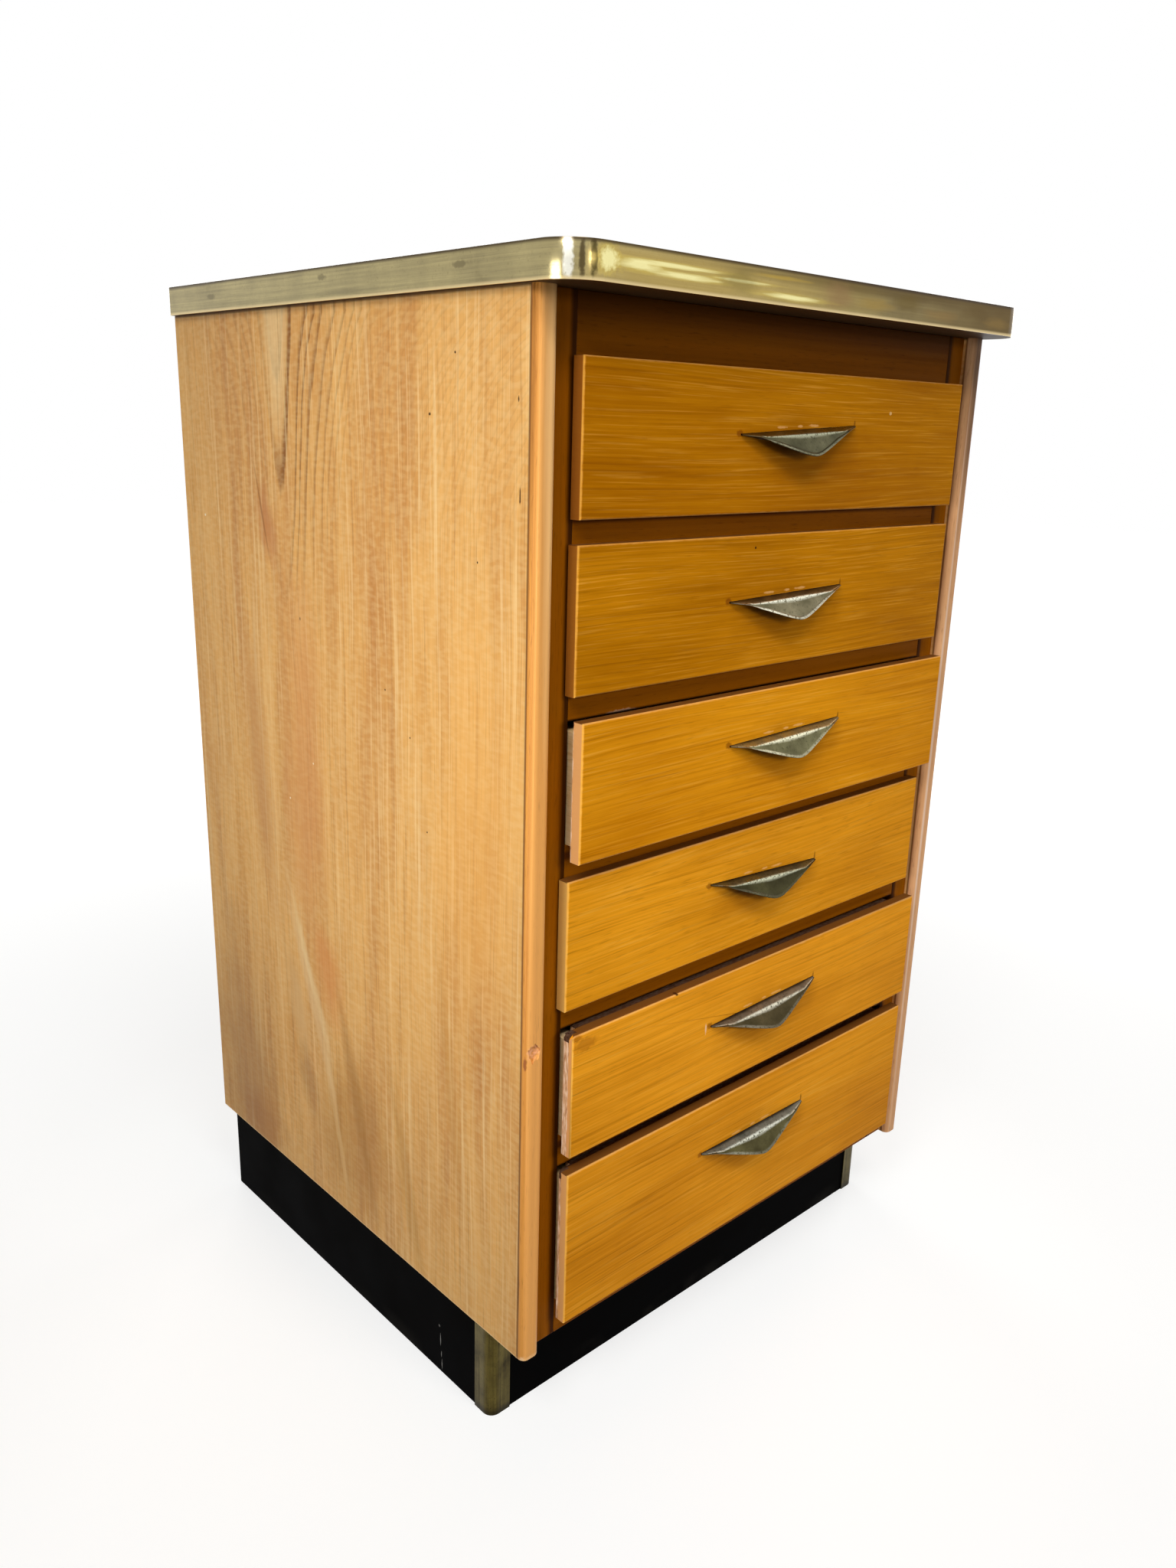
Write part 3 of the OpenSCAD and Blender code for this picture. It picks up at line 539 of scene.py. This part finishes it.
# The fronts grow paler downwards, partly from each board's own tone and partly from painted shade, which
# also darkens the lip ends of the upper two fronts.
FRONT_TONES_AND_SHADE = {1: ("#C47E08", "#9E5C00", "#7E4512", 0.5), 2: ("#CC840C", "#A06000", "#8A5018", 0.5),
          3: ("#E29614", "#BA7004", "#D29A62", 0.8), 4: ("#EC9E1E", "#C47C0A", "#D4A458", 0.9),
          5: ("#F0A022", "#C67C0C", "#D89C62", 0.9), 6: ("#E89A20", "#BE7408", "#D8A268", 0.9)}
TORN_FROM_MM = {3: 8.0, 5: 3.7, 6: 6.5}
FRONT_MARKS = {
    1: [(101, 699, (2.0, 3, 1.6), "#DDB06A", 1.0)],
    2: [(-36, 612, (1.2, 3, 1.2), "#3A1D06", 1.0)],
    5: [(-64, 277, (1.2, 3, 5), "#EDBE92", 1.0), (-181, 306, (13, 3, 6), "#96500E", 0.45),
        (-188, 312, (5, 3, 3), "#8A3F0A", 0.5), (-96, 314, (2, 6, 1.6), "#3A1A08", 0.9)]}


def amber_front(name, low, high, board, torn_mm, marks, tips):
    """Lacquered front between two corners. board is its pale, deep and end-grain colours, which carry
    painted shade on the upper fronts, and the wear of its arrises, torn_mm is how far behind the face its
    left end is torn, marks are spots with only X and Z for a centre, and tips are its pull's ends."""
    pale, deep, end, wear = board
    material, tree = new_finish(name)
    place, axes = places(tree)
    line_mm, hair_mm, dash_mm, tone_mm, ragged_mm, fibre_mm = 1.8, 1.1, 0.9, 60, 6, 1.5

    sway = drawn_out(tree, place, (0.15, 0.2, 1.0), tone_mm, 1.0)
    level = add(tree, "ShaderNodeMath", {0: sway, 1: 22 * MM, 2: axes["Z"]}, operation="MULTIPLY_ADD")
    swayed = add(tree, "ShaderNodeCombineXYZ", {"X": axes["X"], "Y": axes["Y"], "Z": level})
    lines = drawn_out(tree, swayed, (0.012, 0.1, 1.0), line_mm, 3.0, 0.65)
    hairs = drawn_out(tree, swayed, (0.02, 0.3, 1.0), hair_mm, 2.0)
    dashes = drawn_out(tree, swayed, (0.06, 0.6, 1.0), dash_mm, 1.0)
    blotch = drawn_out(tree, place, (0.35, 1.0, 1.0), tone_mm, 4.0)

    line_share = add(tree, "ShaderNodeMapRange", {"Value": lines, "From Min": 0.36, "From Max": 0.64})
    blotch_share = add(tree, "ShaderNodeMapRange", {"Value": blotch, "From Min": 0.34, "From Max": 0.66})
    share = add(tree, "ShaderNodeMix", {"Factor": 0.56, "A": line_share, "B": blotch_share},
                data_type="FLOAT")
    body = add(tree, "ShaderNodeMix", {"Factor": share, "A": deep, "B": pale}, data_type="RGBA")
    lit = add(tree, "ShaderNodeMapRange", {"Value": hairs, "From Min": 0.53, "From Max": 0.72,
                                           "To Max": 0.55})
    lit = add(tree, "ShaderNodeMath", {0: lit, 1: blotch}, operation="MULTIPLY")
    body = add(tree, "ShaderNodeMix", {"Factor": lit, "A": body, "B": "#F0B244"}, data_type="RGBA")
    shown = add(tree, "ShaderNodeMapRange", {"Value": axes["X"], "From Min": low.x, "From Max": 0.0,
                                             "To Min": 0.48, "To Max": 0.2})
    body = laid(tree, body, (dashes, 0.62, 0.76, 0.3, "#8A5206"), (lines, 0.42, 0.28, shown, "#8A5206"))

    # Wear: how near a point lies to the lip's top and bottom edges and to its ends
    middle_z, half_h, half_w = (low.z + high.z) / 2, (high.z - low.z) / 2, high.x
    aside = add(tree, "ShaderNodeMath", {0: axes["Z"], 1: middle_z}, operation="SUBTRACT")
    far_z = add(tree, "ShaderNodeMath", {0: aside}, operation="ABSOLUTE")
    from_edge = add(tree, "ShaderNodeMath", {0: half_h, 1: far_z}, operation="SUBTRACT")
    far_x = add(tree, "ShaderNodeMath", {0: axes["X"]}, operation="ABSOLUTE")
    from_end = add(tree, "ShaderNodeMath", {0: half_w, 1: far_x}, operation="SUBTRACT")
    ragged = add(tree, "ShaderNodeTexNoise", {"Vector": place, "Scale": 1 / (ragged_mm * MM),
                                              "Detail": 4.0})
    depth = add(tree, "ShaderNodeMath", {0: axes["Y"], 1: low.y}, operation="SUBTRACT")
    arris = add(tree, "ShaderNodeMapRange", {"Value": depth, "From Min": 1.2 * MM, "From Max": 2.2 * MM,
                                             "To Min": wear, "To Max": 0.35})
    # The pale arrises are worn lacquer and also a painted highlight along them.
    for gap, code in ((from_edge, "#DCA056"), (from_end, "#EBB050")):
        worn_by = add(tree, "ShaderNodeMath", {0: ragged, 1: -1.4 * MM, 2: gap}, operation="MULTIPLY_ADD")
        worn = add(tree, "ShaderNodeMapRange", {"Value": worn_by, "From Min": 0.4 * MM,
                                                "From Max": -0.5 * MM})
        worn = add(tree, "ShaderNodeMath", {0: worn, 1: arris}, operation="MULTIPLY")
        body = add(tree, "ShaderNodeMix", {"Factor": worn, "A": body, "B": code}, data_type="RGBA")

    # End grain on the lip's ends, darkened on the upper two fronts as painted shade, and painted shade with
    # some stain on its upper edge
    past_arris = add(tree, "ShaderNodeMapRange", {"Value": depth, "From Min": 0.8 * MM,
                                                  "From Max": 1.5 * MM, "To Max": 0.9})
    at_end = add(tree, "ShaderNodeMath", {0: from_end, 1: 0.4 * MM}, operation="LESS_THAN")
    at_top = add(tree, "ShaderNodeMath", {0: aside, 1: half_h - 0.4 * MM}, operation="GREATER_THAN")
    for mask, code in ((at_end, end), (at_top, "#5E3414")):
        share = add(tree, "ShaderNodeMath", {0: mask, 1: past_arris}, operation="MULTIPLY")
        body = add(tree, "ShaderNodeMix", {"Factor": share, "A": body, "B": code}, data_type="RGBA")

    # Bare wood behind the lip, darkened nearly black on the upper step, and torn end grain on some left
    # ends
    depth = add(tree, "ShaderNodeMath", {0: ragged, 1: 2.4 * MM, 2: depth}, operation="MULTIPLY_ADD")
    behind = add(tree, "ShaderNodeMath", {0: depth, 1: (LIP_T_MM + 1.9) * MM}, operation="GREATER_THAN")
    if torn_mm:
        left_end = add(tree, "ShaderNodeMath", {0: axes["X"], 1: -half_w + 7 * MM}, operation="LESS_THAN")
        deeper = add(tree, "ShaderNodeMath", {0: depth, 1: (torn_mm + 1.2) * MM}, operation="GREATER_THAN")
        torn = add(tree, "ShaderNodeMath", {0: left_end, 1: deeper}, operation="MULTIPLY")
        behind = add(tree, "ShaderNodeMath", {0: behind, 1: torn}, operation="MAXIMUM")
    fibres = drawn_out(tree, place, (0.4, 1.0, 0.2), fibre_mm, 4.0)
    bare = add(tree, "ShaderNodeValToRGB", {"Fac": fibres}, stops=[
        (0.3, "#A8744C"), (0.5, "#D8AC84"), (0.7, "#F0D8BC")])
    colour = add(tree, "ShaderNodeMix", {"Factor": behind, "A": body, "B": bare}, data_type="RGBA")
    on_step = add(tree, "ShaderNodeMath", {0: aside, 1: half_h - 5.2 * MM}, operation="GREATER_THAN")
    step_darkening = add(tree, "ShaderNodeMath", {0: on_step, 1: behind}, operation="MULTIPLY")
    step_darkening = add(tree, "ShaderNodeMath", {0: step_darkening, 1: 0.92}, operation="MULTIPLY")
    colour = add(tree, "ShaderNodeMix", {"Factor": step_darkening, "A": colour, "B": "#34190F"}, data_type="RGBA")

    # Grime and painted shadow below the pull, painted shade behind it in the hollow, rust-brown marks at
    # its tips, lacquer flaked along its top edge, and the front's own marks
    left, right = ([value / MM for value in tip] for tip in tips)
    face_y = low.y / MM
    pull_z = (left[2] + right[2]) / 2
    # The first spot is grime and painted shadow below the pull, and the second is painted shade in its
    # hollow.
    spots = [((0, face_y, pull_z - 12), (74, 12, 28), "#804602", 0.45),
             ((-4, face_y, pull_z - 8), (46, 12, 9), "#241002", 0.85),
             ((left[0] - 1, face_y, left[2]), (4, 6, 3), "#6A2A04", 0.6),
             ((right[0] + 0.5, face_y, right[2] + 2), (1.2, 6, 4), "#5A2A06", 0.6)]
    for share, half in ((0.34, 7), (0.5, 4), (0.62, 8)):
        x, z = (a + (b - a) * share for a, b in ((left[0], right[0]), (left[2], right[2])))
        spots.append(((x, face_y, z + 2.4), (half, 6, 1.1), "#E6B06A", 0.6))
    spots += [((x, face_y, z), *rest) for x, z, *rest in marks]
    colour = marked(tree, colour, spots=spots)

    shine = add(tree, "ShaderNodeMapRange", {"Value": blotch, "From Min": 0.3, "From Max": 0.7,
                                             "To Min": 0.34, "To Max": 0.48})
    shine = add(tree, "ShaderNodeMix", {"Factor": behind, "A": shine, "B": 0.85}, data_type="FLOAT")
    fine = add(tree, "ShaderNodeMath", {0: hairs, 1: dashes}, operation="SUBTRACT")
    rough = add(tree, "ShaderNodeMath", {0: fibres, 1: 8.0}, operation="MULTIPLY")
    height = add(tree, "ShaderNodeMix", {"Factor": behind, "A": fine, "B": rough}, data_type="FLOAT")
    relief = add(tree, "ShaderNodeBump", {"Height": height, "Strength": 0.3, "Distance": 0.12 * MM})
    shader = add(tree, "ShaderNodeBsdfPrincipled", {
        "Base Color": colour, "Roughness": shine, "Normal": relief, "IOR": 1.5,
        "Specular IOR Level": 0.02})
    add(tree, "ShaderNodeOutputMaterial", {"Surface": shader})
    return material


for i in DRAWERS:
    low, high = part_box(f"drawer_{i}_front")
    corners = [vert.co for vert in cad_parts[f"drawer_{i}_pull"].data.vertices]
    tips = min(corners, key=lambda co: co.x), max(corners, key=lambda co: co.x)
    finish = amber_front(f"amber_front_{i}", low, high, FRONT_TONES_AND_SHADE[i], TORN_FROM_MM.get(i),
                         FRONT_MARKS.get(i, []), tips)
    dress(finish, f"drawer_{i}_front")
low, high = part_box("drawer_5_front")
bite("front_bite", "drawer_5_front", (low.x / MM, low.y / MM + 5, high.z / MM), (3.0, 5.0, 3.2), seed=8)


# Drawer boxes: softwood sides housed in the front, a back board between them, and a plywood bottom
# that slides into grooves. All are bare and pale, because they only see light when a drawer is out.

plywood_across = timber("birch_plywood_across", "X", BIRCH, ring_mm=14.0, contrast=0.7)
for i in DRAWERS:
    dress(softwood_deep, f"drawer_{i}_sides")
    dress(softwood_across, f"drawer_{i}_back")
    dress(plywood_across, f"drawer_{i}_bottom")
    ease(0.5, f"drawer_{i}_sides", f"drawer_{i}_back")


# Pulls: a sail of sheet brass folded along a straight ridge into a hood, screwed on from inside.
# Each has aged to its own grey, green or brown, and its roof is painted lighter or darker for the light
# it catches. The ridge and some rims are rubbed bright and carry a painted highlight, and grime with
# painted shade lies along the wood and in the hollow. Its sections shrink towards the tips, as the
# imported solid's do.

PULL_W, PULL_DROP, PULL_REACH = 118 * MM, 16 * MM, 15.5 * MM
RIDGE = Vector((6.5, -2.5)) * MM
SHEET_T, APEX_SOFT, RIM_W, DISH = 1 * MM, 7 * MM, 2.5 * MM, 0.5 * MM
PLATE_DROP, TIP_LEN = 9 * MM, 2 * MM
PULL_LAYERS = ("rubbed", "roof", "grime_and_shade")
PULL_TILT = {1: 3.4, 2: 1.9, 3: 1.7, 4: -3.4, 5: 1.6, 6: -0.4}


def smooth(low, high, value):
    """Nought at low, one at high, and an even curve between."""
    t = min(1.0, max(0.0, (value - low) / (high - low)))
    return t * t * (3 - 2 * t)


def pull_section(share, rim_highlight):
    """Points [out, up] round the section at a share of the full sail, each with how rubbed and
    highlighted it is, whether it lies on the roof, and how much grime and painted shade it takes."""
    face_full = Vector((PULL_REACH, -PULL_DROP)) - RIDGE
    roof_way, face_way, roof_len = RIDGE.normalized(), face_full.normalized(), RIDGE.length
    sail = TIP_LEN + (roof_len + face_full.length - TIP_LEN) * share
    ridge = roof_way * min(roof_len, 0.75 * sail)
    tip = roof_way * min(roof_len, sail) + face_way * max(0.0, sail - roof_len)
    face = tip - ridge
    along = face.normalized()
    behind, below = Vector((along.y, -along.x)), Vector((roof_way.y, -roof_way.x))
    hollow = smooth(0.22, 0.45, share)
    foot = Vector((0, -(SHEET_T + PLATE_DROP * share)))
    rim = min(0.4, RIM_W / face.length)
    points = [(foot, 0, 0, 1), (Vector((0, 0)), 0, 1, 1), (ridge * 0.2, 0, 1, 0.7), (ridge * 0.4, 0, 1, 0),
              (ridge * 0.8, 0.1, 1, 0), (ridge * 0.93, 0.6, 1, 0),
              (ridge * 0.985 + below * 0.06 * MM, 1, 1, 0)]
    for t, rubbed in ((0.03, 1), (0.07, 1), (0.13, 0.5), (0.22, 0), (0.35, 0), (0.5, 0), (0.65, 0)):
        sunk = DISH * hollow * smooth(0.02, 0.16, t)
        points.append((ridge.lerp(tip, min(t, 0.94 * (1 - rim))) + behind * sunk, rubbed, 0, 0))
    for t, rubbed in ((1.0, 0), (0.85, 0.3), (0.7, 0.8), (0.5, 1), (0.2, 1), (0.06, 1)):
        sunk = DISH * hollow * smooth(0.5, 1.0, t)
        points.append((ridge.lerp(tip, 1 - rim * t) + behind * sunk, rubbed * rim_highlight, 0, 0))
    points.append((tip + behind * 0.12 * MM, rim_highlight, 0, 0))
    inner = [tip + behind * SHEET_T, ridge.lerp(tip, 0.5) + behind * (SHEET_T + DISH),
             ridge + (behind + below) * SHEET_T / (1 + behind.dot(below)), Vector((SHEET_T, -2 * SHEET_T)),
             foot + Vector((SHEET_T, 0))]
    for k, point in enumerate(inner):
        points.append((tip.lerp(foot, (k + 1) / (len(inner) + 1)).lerp(point, hollow), 0, 0, 1))
    return points


def pull_mesh(name, origin, tilt, rim, stations=96):
    """A pull whose top edge's middle is at origin. rim is how bright the painted highlight on its two
    lower edges is.
    """
    soft = 2 * APEX_SOFT / PULL_W
    far = math.hypot(1, soft)
    turn = Matrix.Rotation(-math.radians(tilt), 3, "Y")
    mesh = bmesh.new()
    layers = [mesh.verts.layers.float.new(layer) for layer in PULL_LAYERS]
    rings = []
    for j in range(stations + 1):
        u = 2 * j / stations - 1
        share = (far - math.hypot(u, soft)) / (far - soft)
        ring = []
        # The painted highlight on the rubbed parts fades near the tips, and on the rims it peaks in a glint
        # left of the middle.
        away_from_tips = smooth(0.0, 0.12, share)
        glint = smooth(0.35, 0.0, abs(u + 0.45))
        for point, rubbed, roof, grime_and_shade in pull_section(share, rim * (0.45 + 0.55 * glint)):
            vert = mesh.verts.new(origin + turn @ Vector((u * PULL_W / 2, -point.x, point.y)))
            for layer, value in zip(layers, (rubbed * away_from_tips, roof, grime_and_shade)):
                vert[layer] = value
            ring.append(vert)
        rings.append(ring)
    count = len(rings[0])
    for near_ring, far_ring in zip(rings, rings[1:]):
        for k in range(count):
            after = (k + 1) % count
            mesh.faces.new((near_ring[k], far_ring[k], far_ring[after], near_ring[after]))
    mesh.faces.new(rings[0])
    mesh.faces.new(reversed(rings[-1]))
    bmesh.ops.recalc_face_normals(mesh, faces=mesh.faces)
    data = bpy.data.meshes.new(name)
    mesh.to_mesh(data)
    mesh.free()
    data.shade_smooth()
    data.set_sharp_from_angle(angle=math.radians(40))
    piece = bpy.data.objects.new(name, data)
    bpy.context.scene.collection.objects.link(piece)
    return piece


def aged_brass(name, patina, roofing, bright):
    """Brass with a patina of two tones on its face and two on its roof, where the roof's tones carry
    painted light and shade. bright is the colour that rubbing has kept on the ridge and rims, also painted
    there as their highlight."""
    material, tree = new_finish(name)
    place = add(tree, "ShaderNodeTexCoord", out="Object")
    rubbed, roof, grime_and_shade = (add(tree, "ShaderNodeAttribute", attribute_name=layer, out="Fac")
                            for layer in PULL_LAYERS)
    patch_mm, speck_mm = 18, 1.5
    patches = add(tree, "ShaderNodeTexNoise", {"Vector": place, "Scale": 1 / (patch_mm * MM),
                                               "Detail": 5.0, "Roughness": 0.6})
    specks = add(tree, "ShaderNodeTexNoise", {"Vector": place, "Scale": 1 / (speck_mm * MM), "Detail": 3.0})
    face, top = (laid(tree, dull, (patches, 0.32, 0.68, 1.0, light)) for dull, light in (patina, roofing))
    body = add(tree, "ShaderNodeMix", {"Factor": roof, "A": face, "B": top}, data_type="RGBA")
    body = laid(tree, body, (specks, 0.58, 0.72, 0.6, "#35321F"))
    # Rubbed parts take the bright colour, which is also their painted highlight, broken by specks.
    bare = add(tree, "ShaderNodeMapRange", {"Value": specks, "From Min": 0.68, "From Max": 0.5})
    bare = add(tree, "ShaderNodeMath", {0: bare, 1: rubbed}, operation="MULTIPLY")
    colour = add(tree, "ShaderNodeMix", {"Factor": bare, "A": body, "B": bright}, data_type="RGBA")
    # Grime with painted shade darkens the hollow and the edge along the wood.
    colour = add(tree, "ShaderNodeMix", {"Factor": grime_and_shade, "A": colour, "B": "#171008"}, data_type="RGBA")
    shine = add(tree, "ShaderNodeMapRange", {"Value": patches, "From Min": 0.35, "From Max": 0.65,
                                             "To Min": 0.42, "To Max": 0.26})
    height = add(tree, "ShaderNodeMath", {0: patches, 1: specks}, operation="ADD")
    relief = add(tree, "ShaderNodeBump", {"Height": height, "Strength": 0.35, "Distance": 0.25 * MM})
    shader = add(tree, "ShaderNodeBsdfPrincipled", {
        "Base Color": colour, "Metallic": 1.0, "Roughness": shine, "Normal": relief})
    add(tree, "ShaderNodeOutputMaterial", {"Surface": shader})
    return material


# Columns: the face's dull and light tones, the roof's dark and light tones, the bright ridge colour, and
# how bright the rims' painted highlight is. The roof tones are painted light and shade: dark on pulls 1 and
# 2, and pale on 3 to 6, whose roofs face the light.
PATINA_AND_PAINTED_LIGHT = {1: ("#45432C", "#6E6A4C", "#2A2410", "#4C4226", "#B4B498", 0.6),
          2: ("#625C42", "#8E8466", "#3A3422", "#6E6852", "#F4F2DC", 1.0),
          3: ("#5A563A", "#827E5A", "#5E5E48", "#B0B292", "#F0ECCC", 0.7),
          4: ("#302C16", "#4C482C", "#44483A", "#6E7462", "#C8C8AC", 0.12),
          5: ("#3A321E", "#5A4E34", "#4E483C", "#948F80", "#D8D2BC", 0.25),
          6: ("#403A22", "#605A3A", "#565C54", "#8E948C", "#D4D4C4", 0.3)}
for i in DRAWERS:
    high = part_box(f"drawer_{i}_pull")[1]
    rise = PULL_W / 2 * math.sin(math.radians(abs(PULL_TILT[i])))
    *tones, bright, rim = PATINA_AND_PAINTED_LIGHT[i]
    pull = pull_mesh(f"brass_pull_{i}", Vector((0, high.y, high.z - rise)), PULL_TILT[i], rim)
    pull.data.materials.append(aged_brass(f"aged_pull_brass_{i}", tones[:2], tones[2:], bright))
    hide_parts(f"drawer_{i}_pull")
    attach(pull, f"drawer_{i}")
    dress(steel, f"drawer_{i}_pull_screws")


# Top: a board faced with the same elm veneer, its grain running across the chest.
# Satin lacquer above, and painted shade darkening it below, where it overhangs.

board_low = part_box("top_board")[0]
# Painted shade darkens the underside where the top overhangs.
dress(elm_veneer("elm_veneer_across", "X", (60, 40, 26, 0.09, -400),
                 lines=[("Z", board_low.z / MM, 3.0, "#24120A", 0.95)]), "top_board")


# Brass band: a thin strip bent round the top's edge and pinned behind, where its ends turn in.
# Polished once, now greyed by handling and browner to the right, with faint scratches along it, and
# bright streaks painted on its front where lamps reflect. Old polish darkens its upper edge and hands
# keep its lower edge bright, and one corner carries a painted reflection: a pale stripe beside two dark
# ones.

band_low, band_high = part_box("top_brass_band")
band_x, band_y = band_low.x / MM, band_low.y / MM
band_spots = [((-120, band_y, 766), (190, 8, 22), "#BC9C46", 0.5),
              ((40, band_y, 773), (210, 4, 6.5), "#54401A", 0.6)]
# Painted reflections of lamps in the front, each a gold layer under a pale one.
LAMP_REFLECTIONS = [(-150, 768.4, 46, 1.6), (-143, 764.0, 36, 2.2), (-178, 766.5, 21, 3.4), (-49, 761, 34, 2.0),
          (-95, 766, 30, 1.2), (-200, 767, 8, 7)]
for widen, code, most in ((1.5, "#CDB55A", 0.65), (1.0, "#FAF2B0", 0.8)):
    band_spots += [((x, band_y, z), (wide * widen, 4, tall * widen), code, most)
                   for x, z, wide, tall in LAMP_REFLECTIONS]
FLECKS = [(-98, 766, 22, 9, "#80703C"), (-60, 771, 34, 1.6, "#B8983C"), (-4, 766, 24, 10, "#8E6E48"),
          (36, 764, 26, 5, "#9A7E3C"), (70, 768, 24, 8, "#66521E"), (112, 763, 30, 5, "#8A6E3C"),
          (160, 768, 26, 8, "#5C4618"), (185, 763, 24, 5, "#84682E")]
band_spots += [((x, band_y, z), (wide, 4, tall), code, 0.55) for x, z, wide, tall, code in FLECKS]
# A painted reflection on the corner: a pale stripe, with two dark stripes beside it.
band_spots += [((-221, -220.4, 767), (3.6, 3.6, 18), "#EDEADB", 0.95),
               ((-215.5, -225, 766), (2.2, 2.2, 14), "#4A3C24", 0.85),
               ((-209.5, -227.5, 767), (2.8, 2.8, 14), "#3E3418", 0.85)]
band_spots += [((band_x, y, z), (4, wide, 2.5), "#6A5F42", 0.6) for y, z, wide in
               ((-138, 768, 9), (6, 770, 7), (157, 766, 8))]
dress(brass("band_brass", ["#B4A676", "#908460", "#6E5F36"], (90, 90, 1.5), 45, (0.14, 0.26),
            pits=0.3, relief_mm=0.04, fade=(-120, 190, "#5A4208"), spots=band_spots,
            lines=[("Z", band_high.z / MM, 2.4, "#3C2E22", 0.85),
                   ("Z", band_low.z / MM, 2.2, "#E0C894", 0.8)]),
      "top_brass_band", "band_pins")
ease(0.3, "top_brass_band")


# Floor and light: a plain pale floor under a white sky, two soft boxes on the left whose beams fade
# towards the back and the floor, two in front, and one each behind and on the right.

def sees_white(tree):
    """One for rays that go straight to the eye or by way of metal or glass, and nought for the rest."""
    rays = add(tree, "ShaderNodeLightPath").node.outputs
    either = add(tree, "ShaderNodeMath", {0: rays["Is Camera Ray"], 1: rays["Is Glossy Ray"]},
                 operation="MAXIMUM")
    return add(tree, "ShaderNodeMath", {0: either, 1: rays["Is Transmission Ray"]}, operation="MAXIMUM")


def sky(strength):
    """A sky that is seen as white, whatever the strength of the light that it gives."""
    world = bpy.data.worlds.new("white_sky")
    world.use_nodes = True
    tree = world.node_tree
    tree.nodes.clear()
    level = add(tree, "ShaderNodeMix", {"Factor": sees_white(tree), "A": strength, "B": 1.0},
                data_type="FLOAT")
    light = add(tree, "ShaderNodeBackground", {"Color": "#FFFFFF", "Strength": level})
    add(tree, "ShaderNodeOutputWorld", {"Surface": light})
    bpy.context.scene.world = world


def floor(half_width, near_glow, far_glow):
    """A white floor that brightens into the sky with distance from the chest."""
    material, tree = new_finish("white_floor")
    place = add(tree, "ShaderNodeTexCoord", out="Object")
    away = add(tree, "ShaderNodeVectorMath", {0: place}, operation="LENGTH", out="Value")
    glow = add(tree, "ShaderNodeMapRange", {"Value": away, "From Min": 0.5, "From Max": 2.2,
                                            "To Min": near_glow, "To Max": far_glow})
    level = add(tree, "ShaderNodeMath", {0: sees_white(tree), 1: glow}, operation="MULTIPLY")
    matt = add(tree, "ShaderNodeBsdfDiffuse", {"Color": "#A8A8A6"})
    light = add(tree, "ShaderNodeEmission", {"Color": "#FFFFFF", "Strength": level})
    both = add(tree, "ShaderNodeAddShader", {0: matt, 1: light})
    add(tree, "ShaderNodeOutputMaterial", {"Surface": both})
    data = bpy.data.meshes.new("floor")
    h = half_width
    data.from_pydata([(-h, -h, 0), (h, -h, 0), (h, h, 0), (-h, h, 0)], [], [(0, 1, 2, 3)])
    data.materials.append(material)
    piece = bpy.data.objects.new("floor", data)
    bpy.context.scene.collection.objects.link(piece)
    piece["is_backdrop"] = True


def soft_box(name, place, target, width, height, power, spread=180):
    """A lamp turned towards a target. Lengths are in metres, power in watts and spread in degrees."""
    data = bpy.data.lights.new(name, "AREA")
    data.shape = "RECTANGLE"
    data.size, data.size_y, data.energy = width, height, power
    data.spread = math.radians(spread)
    lamp = bpy.data.objects.new(name, data)
    bpy.context.scene.collection.objects.link(lamp)
    lamp.location = place
    lamp.rotation_euler = (Vector(target) - Vector(place)).to_track_quat("-Z", "Y").to_euler()


sky(0.12)
floor(9.0, 0.66, 1.0)
soft_box("high_box_left", (-1.1, -0.7, 1.5), (-0.222, -0.15, 0.5), 0.5, 0.5, 4.5, spread=120)
soft_box("low_box_left", (-1.2, -0.25, 0.55), (-0.222, -0.1, 0.5), 0.4, 0.5, 1.0, spread=70)
soft_box("high_box_front", (-0.5, -1.2, 1.9), (0, -0.2, 0.4), 0.6, 0.4, 2.7, spread=90)
soft_box("low_box_front", (0, -1.7, 0.9), (0, -0.2, 0.25), 0.5, 0.4, 1.0, spread=50)
soft_box("box_behind", (0.6, 2.0, 1.3), (0, 0.2, 0.4), 1.2, 1.0, 16)
soft_box("box_right", (2.1, 0.3, 1.0), (0.2, 0, 0.4), 1.0, 1.0, 14)


# Camera: at the photograph's place, height and tilt, as solved from the chest's own corners.
# The focal length is in pixels of the photograph's long side.

PHOTO_LONG_SIDE, FOCAL_PX, SENSOR_MM = 2048, 1587, 36
CAMERA_PLACE = (-0.6611, -0.7149, 0.686)
yaw, pitch, roll = (math.radians(angle) for angle in (43.205, -16.496, 1.667))
ahead = Vector((math.sin(yaw) * math.cos(pitch), math.cos(yaw) * math.cos(pitch), math.sin(pitch)))
level_right = Vector((math.cos(yaw), -math.sin(yaw), 0))
upright = level_right.cross(ahead)
right = math.cos(roll) * level_right + math.sin(roll) * upright
up = -math.sin(roll) * level_right + math.cos(roll) * upright
camera_data = bpy.data.cameras.new("camera")
camera_data.sensor_width = SENSOR_MM
camera_data.lens = SENSOR_MM * FOCAL_PX / PHOTO_LONG_SIDE
camera = bpy.data.objects.new("camera", camera_data)
bpy.context.scene.collection.objects.link(camera)
turn = Matrix((right, up, -ahead)).transposed().to_4x4()
camera.matrix_world = Matrix.Translation(CAMERA_PLACE) @ turn
bpy.context.scene.camera = camera
bpy.context.scene.view_settings.view_transform = "Standard"


# Size: the box of what is shown. It lies within the imported model's box, since nothing that is shown
# stands outside the imported model.

low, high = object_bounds()
